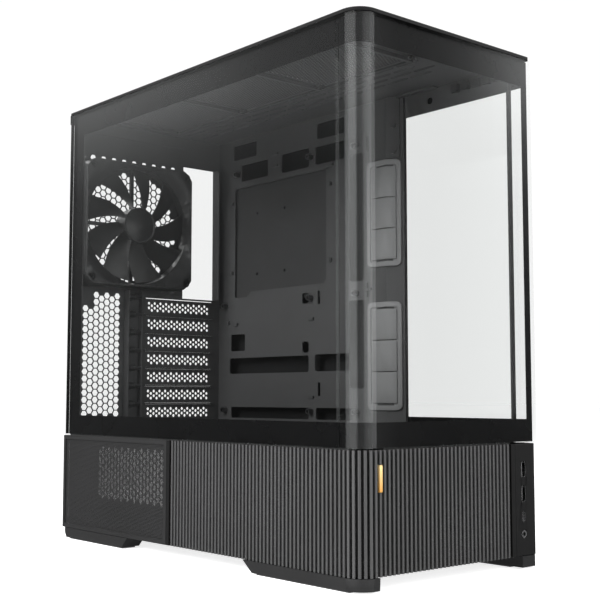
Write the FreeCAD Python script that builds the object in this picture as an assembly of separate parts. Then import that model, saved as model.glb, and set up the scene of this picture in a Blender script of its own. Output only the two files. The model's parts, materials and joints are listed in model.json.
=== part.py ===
import FreeCAD, Part
import math
import os

# Mid-tower computer case with a wrap-round glass front, a ribbed lower cover and one rear fan.
# Millimetres. +Z is up, the front faces -Y, the side with the large flat glass faces -X.
# The origin is on the floor, under the centre of the case.

V = FreeCAD.Vector

# ---- driving dimensions -------------------------------------------------------------------
WIDTH, DEPTH, HEIGHT = 221.0, 465.0, 467.0
FOOT_H = 11.5               # floor to the underside of the case
LOWER_TOP = 110.5           # top of the ribbed cover and of the mesh side panel
CORNER_R = 18.0             # front left corner, glass and ribbed cover alike
GLASS_T = 4.0
SHEET = 1.0                 # steel sheet
GAP = 0.5                   # between a panel that comes off and its neighbour
PRINT_T = 0.3               # black printed border inside each glass
FRONT, REAR = -DEPTH / 2, DEPTH / 2
LEFT, RIGHT = -WIDTH / 2, WIDTH / 2

GLASS_Z0, GLASS_Z1 = LOWER_TOP + 1.0, HEIGHT - 3.4
SEAM_Y = -205.3             # vertical joint between the flat glass and the curved glass
GLASS_REAR = 229.0
BORDER_Z0, BORDER_Z1 = 132.0, 439.0     # clear part of every glass
BORDER_REAR = 207.5

STEEL_X0 = LEFT + 5.0       # steel chassis, left face
STEEL_Y0 = FRONT + 5.0      # steel chassis, front face
STEEL_X1 = 104.2            # steel chassis, right face beside the window
STEEL_R = CORNER_R - 5.0
PAN_X1 = RIGHT - 3.0        # right edge of the base pan and of the rear panel
BACK_Y = 226.5              # inner face of the rear panel
SHROUD_Z = 117.0            # underside of the power supply shroud
DECK_Z = SHROUD_Z + SHEET   # top of the shroud
ROOF_Z = 461.5              # underside of the roof

# board plane: the standard board pattern, measured from its top hole in the middle column
TRAY_X = 94.5
BOARD_X = TRAY_X - 6.5
HOLE_TOP_Z, HOLE_MID_Y = 418.0, 56.1
ROW_GAPS = (0.0, 157.48, 281.94)
COLUMN_REAR, COLUMN_FRONT, TOP_REAR_STEP = 154.94, 72.39, 22.86
SLOT_PITCH, SLOTS = 20.32, 7
SLOT_TOP_Z = 255.9          # middle of the uppermost slot
SLOT_X0, SLOT_X1 = -11.0, 83.0
IO_X0, IO_X1, IO_Z0, IO_Z1 = 40.05, 84.5, 268.0, 426.75
PSU_X0, PSU_X1, PSU_Z0, PSU_Z1 = -70.0, 80.0, 16.0, 102.0

# fan
FAN, FAN_T, FAN_HOLES = 140.0, 25.0, 124.5
FAN_X, FAN_Z = -34.5, 345.5
FAN_Y0 = BACK_Y - FAN_T
BLADES, BLADE_TIP_R, HUB_R = 9, 64.5, 20.5

# ribbed cover
RIB_PITCH, RIB_W, RIB_DEPTH, COVER_T = 4.95, 2.5, 3.0, 5.0
COVER_X1 = 79.3             # where the ribbed front meets the connector strip
COVER_Y1 = 33.5             # where the ribbed side meets the mesh panel
BUTTON_X, BUTTON_Z0, BUTTON_Z1 = -88.05, 77.5, 98.8
PORT_X = 91.0


# ---- small tools --------------------------------------------------------------------------
def box(x0, x1, y0, y1, z0, z1):
    return Part.makeBox(x1 - x0, y1 - y0, z1 - z0, V(x0, y0, z0))


def rod(radius, start, end):
    """Round bar between two points."""
    a, b = V(*start), V(*end)
    return Part.makeCylinder(radius, (b - a).Length, a, b - a)


def on_plane(axis, at):
    """Placing function for a flat outline at right angles to an axis."""
    return {"x": lambda u, v: V(at, u, v),
            "y": lambda u, v: V(u, at, v),
            "z": lambda u, v: V(u, v, at)}[axis]


def rect(u0, u1, v0, v1):
    return [(u0, v0), (u1, v0), (u1, v1), (u0, v1)]


def outline(points, radii, place):
    """Closed wire through the points, with each corner rounded by its radius."""
    if not isinstance(radii, (list, tuple)):
        radii = [radii] * len(points)
    ends, arcs = [], []
    for i, (point, r) in enumerate(zip(points, radii)):
        if r <= 0:
            ends.append((point, point))
            arcs.append(None)
            continue
        px, py = point
        before, after = points[i - 1], points[(i + 1) % len(points)]
        la = math.hypot(before[0] - px, before[1] - py)
        lb = math.hypot(after[0] - px, after[1] - py)
        da = ((before[0] - px) / la, (before[1] - py) / la)
        db = ((after[0] - px) / lb, (after[1] - py) / lb)
        half = math.acos(da[0] * db[0] + da[1] * db[1]) / 2
        back = r / math.tan(half)
        bx, by = da[0] + db[0], da[1] + db[1]
        bl = math.hypot(bx, by)
        reach = r / math.sin(half) - r
        arcs.append((px + bx / bl * reach, py + by / bl * reach))
        ends.append(((px + da[0] * back, py + da[1] * back),
                     (px + db[0] * back, py + db[1] * back)))
    edges = []
    for i, (start, end) in enumerate(ends):
        if arcs[i]:
            edges.append(Part.Arc(place(*start), place(*arcs[i]), place(*end)).toShape())
        following = ends[(i + 1) % len(ends)][0]
        if math.hypot(following[0] - end[0], following[1] - end[1]) > 1e-6:
            edges.append(Part.makeLine(place(*end), place(*following)))
    return Part.Wire(edges)


def plate(axis, at, thickness, points, holes=(), r=0.0):
    """Flat sheet at right angles to an axis; holes are (points, radius) or (u, v, radius)."""
    place = on_plane(axis, at)
    direction = {"x": V(1, 0, 0), "y": V(0, 1, 0), "z": V(0, 0, 1)}[axis]
    wires = [outline(points, r, place)]
    for hole in holes:
        if len(hole) == 3:
            circle = Part.Circle(place(hole[0], hole[1]), direction, hole[2])
            wires.append(Part.Wire([circle.toShape()]))
        else:
            wires.append(outline(hole[0], hole[1], place))
    face = Part.makeFace(wires, "Part::FaceMakerBullseye")
    return face.extrude(direction * thickness)


def prism(points, z0, z1, radii=0.0):
    """Upright prism over an outline seen from above."""
    return plate("z", z0, z1 - z0, points, (), radii)


def hexagon(u, v, flats):
    """Hexagon with a flat side up, given across its flats."""
    r = flats / math.sqrt(3)
    return [(u + r * math.cos(math.radians(60 * k)), v + r * math.sin(math.radians(60 * k)))
            for k in range(6)]


def hex_field(u0, u1, v0, v1, pitch, flats, keep=lambda u, v: True):
    """Honeycomb holes whose centres lie inside a rectangle and pass a test."""
    step, holes = pitch * math.sqrt(3) / 2, []
    columns = int((u1 - u0) / step)
    for c in range(columns + 1):
        rows = int((v1 - v0 - (c % 2) * pitch / 2) / pitch)
        for k in range(rows + 1):
            u, v = u0 + c * step, v1 - (c % 2) * pitch / 2 - k * pitch
            if keep(u, v):
                holes.append((hexagon(u, v, flats), 0.0))
    return holes


def fuse(first, *others):
    return first.multiFuse(list(others)).removeSplitter()


parts = {}


# ---- steel chassis ------------------------------------------------------------------------
def steel_outline(front_r=STEEL_R):
    points = rect(STEEL_X0, STEEL_X1, STEEL_Y0, BACK_Y)
    return points, [front_r, 0.0, 0.0, 0.0]


def lower_chassis():
    vent = rect(-58, 58, 76, 204)
    floor = plate("z", FOOT_H, SHEET, rect(STEEL_X0, PAN_X1, STEEL_Y0, BACK_Y),
                  [(vent, 0.0)], [STEEL_R + 0.6, 5.0, 0, 0])
    parts["base_pan"] = floor
    side_vent = rect(44, 172, 40, 104)
    pegs = [(y, z, 2.5) for y in (38.5, 222) for z in (20, 106)]
    z0 = FOOT_H + SHEET
    side = plate("x", STEEL_X0, SHEET, rect(STEEL_Y0 + STEEL_R, BACK_Y, z0, SHROUD_Z),
                 [(side_vent, 0.0)] + pegs)
    front = plate("y", STEEL_Y0, SHEET, rect(BUTTON_X + 8, COVER_X1, z0, SHROUD_Z))
    parts["lower_side_wall"] = side
    parts["lower_front_wall"] = front
    intake = plate("z", FOOT_H, SHEET, vent, hex_field(-53, 53, 82, 198, 9.0, 7.6))
    side_grille = plate("x", STEEL_X0, SHEET, side_vent,
                        hex_field(50, 166, 46, 98, 7.0, 5.8))
    parts["psu_vent_grilles"] = Part.makeCompound([intake, side_grille])

    points, radii = steel_outline()
    points = [points[0], (STEEL_X1 + SHEET, points[0][1]), (STEEL_X1 + SHEET, BACK_Y), points[3]]
    cables = [(rect(58, 86, y, y + 62), 5.0) for y in (-96, -12, 70)]
    deck = plate("z", SHROUD_Z, SHEET, points, cables, radii)
    socket_y = (-190.0, 216.0)
    left = plate("x", STEEL_X0, SHEET, rect(STEEL_Y0 + STEEL_R, BACK_Y, SHROUD_Z, 130),
                 [(y, 124.0, 3.4) for y in socket_y])
    front = plate("y", STEEL_Y0, SHEET, rect(STEEL_X0 + STEEL_R, 100, SHROUD_Z, 130),
                  [(x, 124.0, 3.4) for x in (-80.0, 92.0)])
    parts["psu_shroud"] = fuse(deck, left, front)


def rear_wall():
    fan_window = rect(FAN_X - 69, FAN_X + 69, FAN_Z - 69, FAN_Z + 79)
    vent_window = rect(-95, -43, 125, 271)
    slot_window = rect(SLOT_X0, SLOT_X1, SLOT_TOP_Z - 6.5 * SLOT_PITCH, SLOT_TOP_Z + SLOT_PITCH / 2)
    psu_window = rect(PSU_X0, PSU_X1, PSU_Z0, PSU_Z1)
    psu_holes = [(PSU_X0 + dx, PSU_Z0 + 92, 2.0) for dx in (6, 144)]
    windows = [(w, 0.0) for w in (fan_window, vent_window, slot_window, psu_window)]
    windows.append((rect(IO_X0, IO_X1, IO_Z0, IO_Z1), 0.0))
    captive = [(104.0, z, 2.0) for z in (60.0, 250.0, 440.0)]
    wall = plate("y", BACK_Y, SHEET, rect(STEEL_X0, PAN_X1, FOOT_H, ROOF_Z),
                 windows + psu_holes + captive)
    edge = box(STEEL_X0, STEEL_X0 + SHEET, BORDER_REAR, BACK_Y, 130, 442)
    lip = plate("x", IO_X1, SHEET, rect(BACK_Y - 12, BACK_Y, IO_Z0, IO_Z1), (), [0, 0, 0, 6.0])
    dividers = []
    for k in range(SLOTS - 1):
        z = SLOT_TOP_Z - (k + 0.5) * SLOT_PITCH
        dividers.append(box(SLOT_X0 - 0.5, SLOT_X1 + 0.5, BACK_Y - 2.0, BACK_Y + SHEET, z - 0.8, z + 0.8))
    parts["rear_panel"] = fuse(wall, edge, lip, *dividers)

    def in_fan(u, v):
        round_part = math.hypot(u - FAN_X, v - FAN_Z) < 62
        above = v > FAN_Z + 72
        return round_part or above

    screws = [(FAN_X + sx * FAN_HOLES / 2, FAN_Z + sz * FAN_HOLES / 2, 2.4)
              for sx in (-1, 1) for sz in (-1, 1)]
    honeycomb = hex_field(FAN_X - 62, FAN_X + 62, FAN_Z - 64, FAN_Z + 75, 7.8, 6.7, in_fan)
    parts["rear_fan_grille"] = plate("y", BACK_Y, SHEET, fan_window, honeycomb + screws)
    strip = hex_field(-89.7, -49.0, 130.5, 265.5, 7.8, 6.7,
                      lambda u, v: v < 252 or u > -80)
    parts["rear_vent_grille"] = plate("y", BACK_Y, SHEET, vent_window, strip)

    half = SLOT_PITCH / 2 - 0.9
    for k in range(SLOTS):
        z = SLOT_TOP_Z - k * SLOT_PITCH
        holes = []
        for c in range(22):
            rows = (4.05, -1.35) if c % 2 == 0 else (1.35, -4.05)
            holes += [(SLOT_X0 + 4.6 + 3.95 * c, z + row, 1.7) for row in rows]
        cover = plate("y", BACK_Y, SHEET, rect(SLOT_X0, SLOT_X1, z - half, z + half), holes)
        tab = box(-19.0, SLOT_X0 + 1.0, BACK_Y - 1.0, BACK_Y, z - half + 1, z + half - 1)
        parts["slot_cover_%d" % (k + 1)] = fuse(cover, tab)
    bottom, top = SLOT_TOP_Z - 6.5 * SLOT_PITCH, SLOT_TOP_Z + 17.0
    parts["slot_channel"] = fuse(box(-40, -39, BACK_Y - 10, BACK_Y, bottom, top),
                                 box(-40, -20, BACK_Y - 1, BACK_Y, bottom, top),
                                 box(-21, -20, BACK_Y - 8, BACK_Y, bottom, top))
    heads = []
    for k in range(SLOTS):
        z = SLOT_TOP_Z + SLOT_PITCH / 2 - k * SLOT_PITCH
        y = BACK_Y - 5.6
        heads.append(fuse(rod(4.0, (-37.5, y, z), (-30.5, y, z)),
                          rod(2.2, (-30.5, y, z), (-21.0, y, z))))
    parts["slot_thumbscrews"] = Part.makeCompound(heads)


def tray():
    """Board tray: a flat sheet whose front edge is folded towards the right side."""
    fold_y, bend = -59.6, math.radians(60)
    dx, dy = math.cos(bend), -math.sin(bend)
    nx, ny = dy, -dx

    def folded(start_y, length, near, far):
        """Outline of a strip on the fold: near and far are distances out from its face."""
        slip = math.tan(math.radians(15))
        corner = (TRAY_X, fold_y)
        end = (corner[0] + dx * length, corner[1] + dy * length)
        return [(TRAY_X - near, start_y), (TRAY_X - near, fold_y - near * slip),
                (end[0] + nx * near, end[1] + ny * near), (end[0] + nx * far, end[1] + ny * far),
                (TRAY_X - far, fold_y - far * slip), (TRAY_X - far, start_y)]

    sheet = prism(folded(BACK_Y, 19.5, -SHEET, 0.0), DECK_Z, ROOF_Z)
    cuts = [
        (rect(154.5, 198.6, 436.6, 454.5), 1.5), (rect(133.1, 182.6, 409, 429), 1.5),
        (rect(60.2, 108.1, 408, 430), 3.0), (rect(2.9, 50.0, 408.3, 428.5), 3.0),
        (rect(2.7, 47.0, 436.5, 454.5), 3.0),
        ([(32, 280), (36, 275.5), (164, 275.5), (172, 269.5), (195, 269.5), (195, 401.5), (32, 401.5)],
         [2, 2, 2, 2, 3, 3, 3]),
        (rect(-26.8, -4.3, 273.6, 410.2), 4.0),
        ([(-26.8, 160.5), (-4.1, 160.5), (-4.1, 179.4), (51, 179.4), (51, 198), (-4.1, 198),
          (-4.1, 253.5), (-26.8, 253.5)], [3, 3, 2, 3, 3, 2, 3, 3]),
        (rect(61.1, 204.4, 179.0, 197.5), 3.0), (rect(175, 202, 205.8, 225.8), 2.0),
        (rect(61.3, 201.2, 127.0, 139.8), 2.0), (rect(-7.0, 49.4, 127.0, 139.8), 2.0),
        (rect(61, 72, 255, 267), 3.0), (rect(61, 72, 200.5, 213), 3.0),
    ]
    cuts += [(rect(y - 2, y + 2, z - 7.5, z + 7.5), 1.0)
             for y, z in ((44, 260.5), (44, 160), (-33, 418), (-33, 263))]
    tools = [plate("x", TRAY_X - 2, SHEET + 4, points, (), radii) for points, radii in cuts]
    parts["motherboard_tray"] = sheet.cut(Part.makeCompound(tools))

    spots = [(HOLE_MID_Y, HOLE_TOP_Z - gap) for gap in ROW_GAPS]
    spots += [(HOLE_MID_Y - COLUMN_FRONT, HOLE_TOP_Z - gap) for gap in ROW_GAPS]
    spots += [(HOLE_MID_Y + COLUMN_REAR, HOLE_TOP_Z - gap) for gap in ROW_GAPS[1:]]
    spots.append((HOLE_MID_Y + COLUMN_REAR - TOP_REAR_STEP, HOLE_TOP_Z))
    studs = [rod(3.0, (BOARD_X, y, z), (TRAY_X, y, z)).cut(rod(1.5, (BOARD_X, y, z), (TRAY_X, y, z)))
             for y, z in spots]
    parts["standoffs"] = Part.makeCompound(studs)

    drive_holes = [(y, z, 1.8) for y in (106.0, 156.0) for z in (296.0, 368.0)]
    parts["drive_plate"] = plate("x", TRAY_X + 3, SHEET, rect(18, 206, 262, 406), drive_holes, 6.0)
    spots = [(25.0, 300.0), (25.0, 384.0), (200.5, 300.0), (200.5, 384.0)]
    spacers = [rod(2.6, (TRAY_X - 1.2, y, z), (TRAY_X, y, z)) for y, z in spots]
    spacers += [rod(3.4, (TRAY_X + SHEET, y, z), (TRAY_X + 3, y, z)) for y, z in spots]

    for name, z0 in (("cable_cover_upper", 285.5), ("cable_cover_lower", 138.0)):
        z1 = z0 + 111.0
        pad = prism(folded(-33.6, 16.5, 0.0, 1.2), z0, z1)
        rim = prism(folded(-33.6, 16.5, 1.2, 2.4), z0, z1)
        inner = prism(folded(-39.0, 13.0, 1.1, 2.5), z0 + 7, z1 - 7)
        parts[name] = fuse(pad, rim.cut(inner))

    def off_fold(along, out, z=0.0):
        return (TRAY_X + dx * along + nx * out, fold_y + dy * along + ny * out, z)

    arm = prism([off_fold(a, o)[:2] for a, o in ((1.0, 0.0), (15.5, 0.0), (15.5, 1.5), (1.0, 1.5))],
                398.5, ROOF_Z)
    reach = box(TRAY_X + 2.0, STEEL_X1 - 0.4, -125, -72, ROOF_Z - 1.5, ROOF_Z)
    behind = prism([off_fold(a, o)[:2] for a, o in ((10, 0), (22, 0), (22, -3), (10, -3))],
                   398.5, ROOF_Z)
    parts["corner_bracket"] = fuse(arm, reach).cut(behind)
    screws = [rod(3.0, off_fold(9, 1.5, z), off_fold(9, 3.1, z)) for z in (405.0, 432.0)]
    parts["chassis_screws"] = Part.makeCompound(screws + spacers)


def roof():
    squares = [rect(-100, 17, y, y + 119) for y in (-167.0, -42.0, 83.0)]
    points, radii = steel_outline()
    sheet = plate("z", ROOF_Z, SHEET, points, [(s, 0.0) for s in squares], radii)
    left = plate("x", STEEL_X0, SHEET, rect(STEEL_Y0 + STEEL_R, BACK_Y, 442, ROOF_Z),
                 [(y, 451.0, 3.4) for y in (-190.0, 216.0)])
    front = plate("y", STEEL_Y0, SHEET, rect(STEEL_X0 + STEEL_R, 100, 442, ROOF_Z),
                  [(x, 451.0, 3.4) for x in (-80.0, 92.0)])
    back = box(-100, 40, BACK_Y - SHEET, BACK_Y, 448, ROOF_Z)
    parts["roof_frame"] = fuse(sheet, left, front, back)
    grilles = []
    for square in squares:
        y0 = square[0][1]
        grilles.append(plate("z", ROOF_Z, SHEET, square,
                             hex_field(-93, 11, y0 + 7, y0 + 112, 8.0, 5.6)))
    parts["roof_grilles"] = Part.makeCompound(grilles)
    parts["right_rail"] = plate("x", STEEL_X1, SHEET, rect(-209.5, -78.5, 438, ROOF_Z),
                                [(-113.0, 449.5, 3.5)])
    parts["front_pillar"] = fuse(box(STEEL_X1, STEEL_X1 + SHEET, -214.5, -209.5, DECK_Z, ROOF_Z),
                                 box(STEEL_X1 - 4, STEEL_X1, -214.5, -213.5, DECK_Z, ROOF_Z))


# ---- fan ----------------------------------------------------------------------------------
def fan():
    half, y1 = FAN / 2, BACK_Y
    corner = [(FAN_X + sx * FAN_HOLES / 2, FAN_Z + sz * FAN_HOLES / 2, 2.2)
              for sx in (-1, 1) for sz in (-1, 1)]
    body = plate("y", FAN_Y0, FAN_T, rect(FAN_X - half, FAN_X + half, FAN_Z - half, FAN_Z + half),
                 corner + [(FAN_X, FAN_Z, 66.5)], 7.0)
    motor = rod(19.0, (FAN_X, y1 - 5.0, FAN_Z), (FAN_X, y1 - 0.1, FAN_Z))
    arms = []
    for k in range(4):
        arm = box(FAN_X + 17, FAN_X + 68, y1 - 5.0, y1 - 1.5, FAN_Z - 2, FAN_Z + 2)
        arm.rotate(V(FAN_X, 0, FAN_Z), V(0, 1, 0), 45 + 90 * k)
        arms.append(arm)
    bore = rod(1.8, (FAN_X, y1 - 6, FAN_Z), (FAN_X, y1 + 1, FAN_Z))
    parts["fan_frame"] = fuse(body, motor, *arms).cut(bore)

    front, back = FAN_Y0 + 2.0, y1 - 6.0
    hub = rod(HUB_R, (FAN_X, front, FAN_Z), (FAN_X, back, FAN_Z))
    shaft = rod(1.5, (FAN_X, back, FAN_Z), (FAN_X, y1 - 1.0, FAN_Z))
    blades = []
    for k in range(BLADES):
        sections = []
        for r, sweep, rise, chord in ((HUB_R - 3, 0, 12.5, 9), (42, 13, 10.5, 14),
                                      (BLADE_TIP_R, 30, 8.0, 17)):
            middle = (front + back) / 2
            wire = []
            for along, side in ((-1, -1), (1, -1), (1, 1), (-1, 1)):
                angle = math.radians(360.0 / BLADES * k + sweep) + along * chord / r
                y = middle - along * rise * 0.55 + side * 0.8
                wire.append(V(FAN_X + r * math.cos(angle), y, FAN_Z + r * math.sin(angle)))
            sections.append(Part.makePolygon(wire + wire[:1]))
        blades.append(Part.makeLoft(sections, True, True))
    parts["fan_rotor"] = fuse(hub, shaft, *blades)
    screws = []
    for x, z, _ in corner:
        screws.append(fuse(rod(4.2, (x, y1 + SHEET, z), (x, y1 + SHEET + 2.2, z)),
                           rod(2.1, (x, y1 - 11, z), (x, y1 + SHEET, z))))
    parts["fan_screws"] = Part.makeCompound(screws)


# ---- outer covers -------------------------------------------------------------------------
def along_cover(s, inset):
    """Point on the ribbed cover's face, s millimetres from its right end, moved inwards."""
    flat = COVER_X1 - (LEFT + CORNER_R)
    turn = CORNER_R * math.pi / 2
    cx, cy = LEFT + CORNER_R, FRONT + CORNER_R
    if s <= flat:
        return COVER_X1 - s, FRONT + inset
    if s <= flat + turn:
        angle = math.pi * 1.5 - (s - flat) / CORNER_R
        return cx + (CORNER_R - inset) * math.cos(angle), cy + (CORNER_R - inset) * math.sin(angle)
    return LEFT + inset, cy + s - flat - turn


def ribbed_cover():
    length = COVER_X1 - LEFT - CORNER_R + CORNER_R * math.pi / 2 + COVER_Y1 - FRONT - CORNER_R
    points, k = [along_cover(0, 0)], 0
    while 4.0 + RIB_PITCH * (k + 1) < length - 3:
        groove = 4.0 + RIB_PITCH * k + RIB_W / 2
        end = groove + RIB_PITCH - RIB_W
        points += [along_cover(groove, 0), along_cover(groove, RIB_DEPTH),
                   along_cover(end, RIB_DEPTH), along_cover(end, 0)]
        k += 1
    points.append(along_cover(length, 0))
    corner = [along_cover(COVER_X1 - LEFT - CORNER_R + CORNER_R * math.radians(a), COVER_T)
              for a in range(0, 91, 10)]
    points += [along_cover(length, COVER_T)] + corner[::-1] + [along_cover(0, COVER_T)]
    cover = prism(points, FOOT_H + 0.5, LOWER_TOP)
    slot = box(BUTTON_X - 1.95, BUTTON_X + 1.95, FRONT - 1, STEEL_Y0 + 1,
               BUTTON_Z0 - 0.4, BUTTON_Z1 + 0.4)
    parts["ribbed_cover"] = cover.cut(slot)
    parts["power_button"] = fuse(
        box(BUTTON_X - 1.55, BUTTON_X + 1.55, FRONT, STEEL_Y0 + 0.6, BUTTON_Z0, BUTTON_Z1),
        box(BUTTON_X - 3.5, BUTTON_X + 3.5, STEEL_Y0 + 0.3, STEEL_Y0 + 1.3,
            BUTTON_Z0 - 2, BUTTON_Z1 + 2))
    parts["power_switch"] = box(BUTTON_X - 4, BUTTON_X + 4, STEEL_Y0 + 2.8, STEEL_Y0 + 8.0,
                                BUTTON_Z0 + 4, BUTTON_Z1 - 4)


def connector_strip():
    x1, z0 = RIGHT, FOOT_H + 0.5
    points = [(COVER_X1 + 0.4, FRONT), (x1, FRONT), (x1, -215.0), (x1 - 2.5, -215.0),
              (x1 - 2.5, FRONT + 2.5), (COVER_X1 + 0.4, FRONT + 2.5)]
    strip = prism(points, z0, LOWER_TOP, [0, 6.0, 0, 0, 3.5, 0])
    usb = [(PORT_X, 87.7, 3.3, 7.1, 0.6), (PORT_X, 66.2, 3.3, 7.1, 0.6), (PORT_X, 46.3, 2.0, 4.9, 1.9)]
    tools = [plate("y", FRONT - 1, 4.5, rect(x - w, x + w, z - h, z + h), (), r)
             for x, z, w, h, r in usb]
    tools.append(rod(3.6, (PORT_X, FRONT - 1, 31.0), (PORT_X, FRONT + 4, 31.0)))
    parts["connector_strip"] = strip.cut(Part.makeCompound(tools))
    y0, y1 = FRONT + 0.3, FRONT + 14.3
    sockets = []
    for z in (87.7, 66.2):
        shell = plate("y", y0, y1 - y0, rect(PORT_X - 2.9, PORT_X + 2.9, z - 6.6, z + 6.6),
                      [(rect(PORT_X - 2.55, PORT_X + 2.55, z - 6.25, z + 6.25), 0.3)], 0.6)
        shell = fuse(shell, box(PORT_X - 2.7, PORT_X + 2.7, y1 - 1, y1, z - 6.4, z + 6.4),
                     box(PORT_X - 2.0, PORT_X - 0.2, y0 + 1, y1, z - 5.6, z + 5.6))
        sockets.append(shell)
    parts["usb_a_sockets"] = Part.makeCompound(sockets)
    z = 46.3
    shell = plate("y", y0, 9.0, rect(PORT_X - 1.63, PORT_X + 1.63, z - 4.47, z + 4.47),
                  [(rect(PORT_X - 1.3, PORT_X + 1.3, z - 4.14, z + 4.14), 1.25)], 1.6)
    parts["usb_c_socket"] = fuse(shell,
                                 box(PORT_X - 1.4, PORT_X + 1.4, y0 + 8, y0 + 9, z - 4, z + 4),
                                 box(PORT_X - 0.35, PORT_X + 0.35, y0 + 1, y0 + 9, z - 3.3, z + 3.3))
    z = 31.0
    barrel = rod(3.3, (PORT_X, y0 - 0.2, z), (PORT_X, y0 + 12, z))
    parts["audio_socket"] = barrel.cut(rod(1.8, (PORT_X, y0 - 1, z), (PORT_X, y0 + 11, z)))
    parts["connector_board"] = box(PORT_X - 4.9, PORT_X - 3.3, FRONT + 4, FRONT + 30, 22, 100)


def mesh_panel():
    y0, y1, z0 = COVER_Y1 + GAP, REAR, FOOT_H + 0.5
    opening = rect(y0 + 4.5, y1 - 4.0, z0 + 4.0, LOWER_TOP - 4.0)
    frame = plate("x", LEFT, 4.0, rect(y0, y1, z0, LOWER_TOP), [(opening, 1.5)], 1.0)
    pegs = [rod(2.0, (LEFT + 3.5, y, z), (LEFT + 7.0, y, z)) for y in (38.5, 222) for z in (20, 106)]
    bars = [box(LEFT + 2.6, LEFT + 4.0, 219, REAR - 3, z - 3, z + 3) for z in (20, 106)]
    parts["mesh_panel_frame"] = fuse(frame, *(pegs + bars))
    parts["mesh_panel_screen"] = plate("x", LEFT + 1.2, 0.6, opening, (), 1.5)


def top():
    z1 = HEIGHT
    lid = rect(LEFT, RIGHT, FRONT, REAR)
    opening = rect(-98, 98, -200, 206)
    ring = plate("z", z1 - 3.0, 3.0, lid, [(opening, 6.0)], [CORNER_R, 4, 4, 4])
    ledge = plate("z", z1 - 3.0, 0.9, rect(-98, 98, -200, 206), [(rect(-90, 90, -192, 198), 4.0)], 6.0)
    rear_skirt = box(LEFT + 1, RIGHT - 2, GLASS_REAR + 0.6, REAR, z1 - 12.0, z1 - 2.0)
    seat = plate("z", ROOF_Z + SHEET, z1 - 3.0 - ROOF_Z - SHEET, rect(-104.6, 103, -220, 224),
                 [(rect(-101, 101, -216, 220), 4.0)], [10, 2, 2, 2])
    parts["top_cover"] = fuse(ring, ledge, rear_skirt, seat)
    z0 = z1 - 1.8
    parts["top_filter_frame"] = plate("z", z0, 1.5, rect(-97.5, 97.5, -199.5, 205.5),
                                      [(rect(-89, 89, -191, 197), 3.0)], 5.5)
    parts["top_filter_mesh"] = plate("z", z0 + 0.5, 0.5, rect(-89, 89, -191, 197), (), 3.0)


def glass_left():
    y0, x0 = SEAM_Y + GAP, LEFT
    sheet = rect(y0, GLASS_REAR, GLASS_Z0, GLASS_Z1)
    parts["left_glass"] = plate("x", x0, GLASS_T, sheet, (), [1, 1, 1, 1])
    clear = rect(y0 + 0.6, BORDER_REAR, BORDER_Z0, BORDER_Z1)
    inner = rect(y0 + 0.3, GLASS_REAR - 0.5, GLASS_Z0 + 0.5, GLASS_Z1 - 0.5)
    parts["left_glass_border"] = plate("x", x0 + GLASS_T, PRINT_T, inner, [(clear, 0.0)])
    x = x0 + GLASS_T + PRINT_T
    studs = [fuse(rod(5.0, (x, y, z), (x + 0.3, y, z)), rod(2.9, (x, y, z), (x + 4.5, y, z)))
             for y in (-190.0, 216.0) for z in (124.0, 451.0)]
    parts["left_glass_studs"] = Part.makeCompound(studs)


def wrap(outer, inner, x_end):
    """Outline of a layer of the curved front glass, between two distances from its face."""
    return ([(LEFT + outer, SEAM_Y), (LEFT + outer, FRONT + outer), (x_end, FRONT + outer),
             (x_end, FRONT + inner), (LEFT + inner, FRONT + inner), (LEFT + inner, SEAM_Y)],
            [0, CORNER_R - outer, 0, 0, CORNER_R - inner, 0])


def glass_front():
    points, radii = wrap(0.0, GLASS_T, RIGHT)
    parts["front_glass"] = prism(points, GLASS_Z0, GLASS_Z1, radii)
    points, radii = wrap(GLASS_T, GLASS_T + PRINT_T, RIGHT - 0.5)
    layer = prism(points, GLASS_Z0 + 0.5, GLASS_Z1 - 0.5, radii)
    clear = box(LEFT - 1, RIGHT - 8.5, FRONT - 1, SEAM_Y + 1, BORDER_Z0, BORDER_Z1)
    layer = layer.cut(clear)
    parts["front_glass_border"] = layer
    y = FRONT + GLASS_T + PRINT_T
    studs = [fuse(rod(5.0, (x, y, z), (x, y + 0.3, z)), rod(2.9, (x, y, z), (x, y + 4.5, z)))
             for x in (-80.0, 92.0) for z in (124.0, 451.0)]
    parts["front_glass_studs"] = Part.makeCompound(studs)


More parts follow.
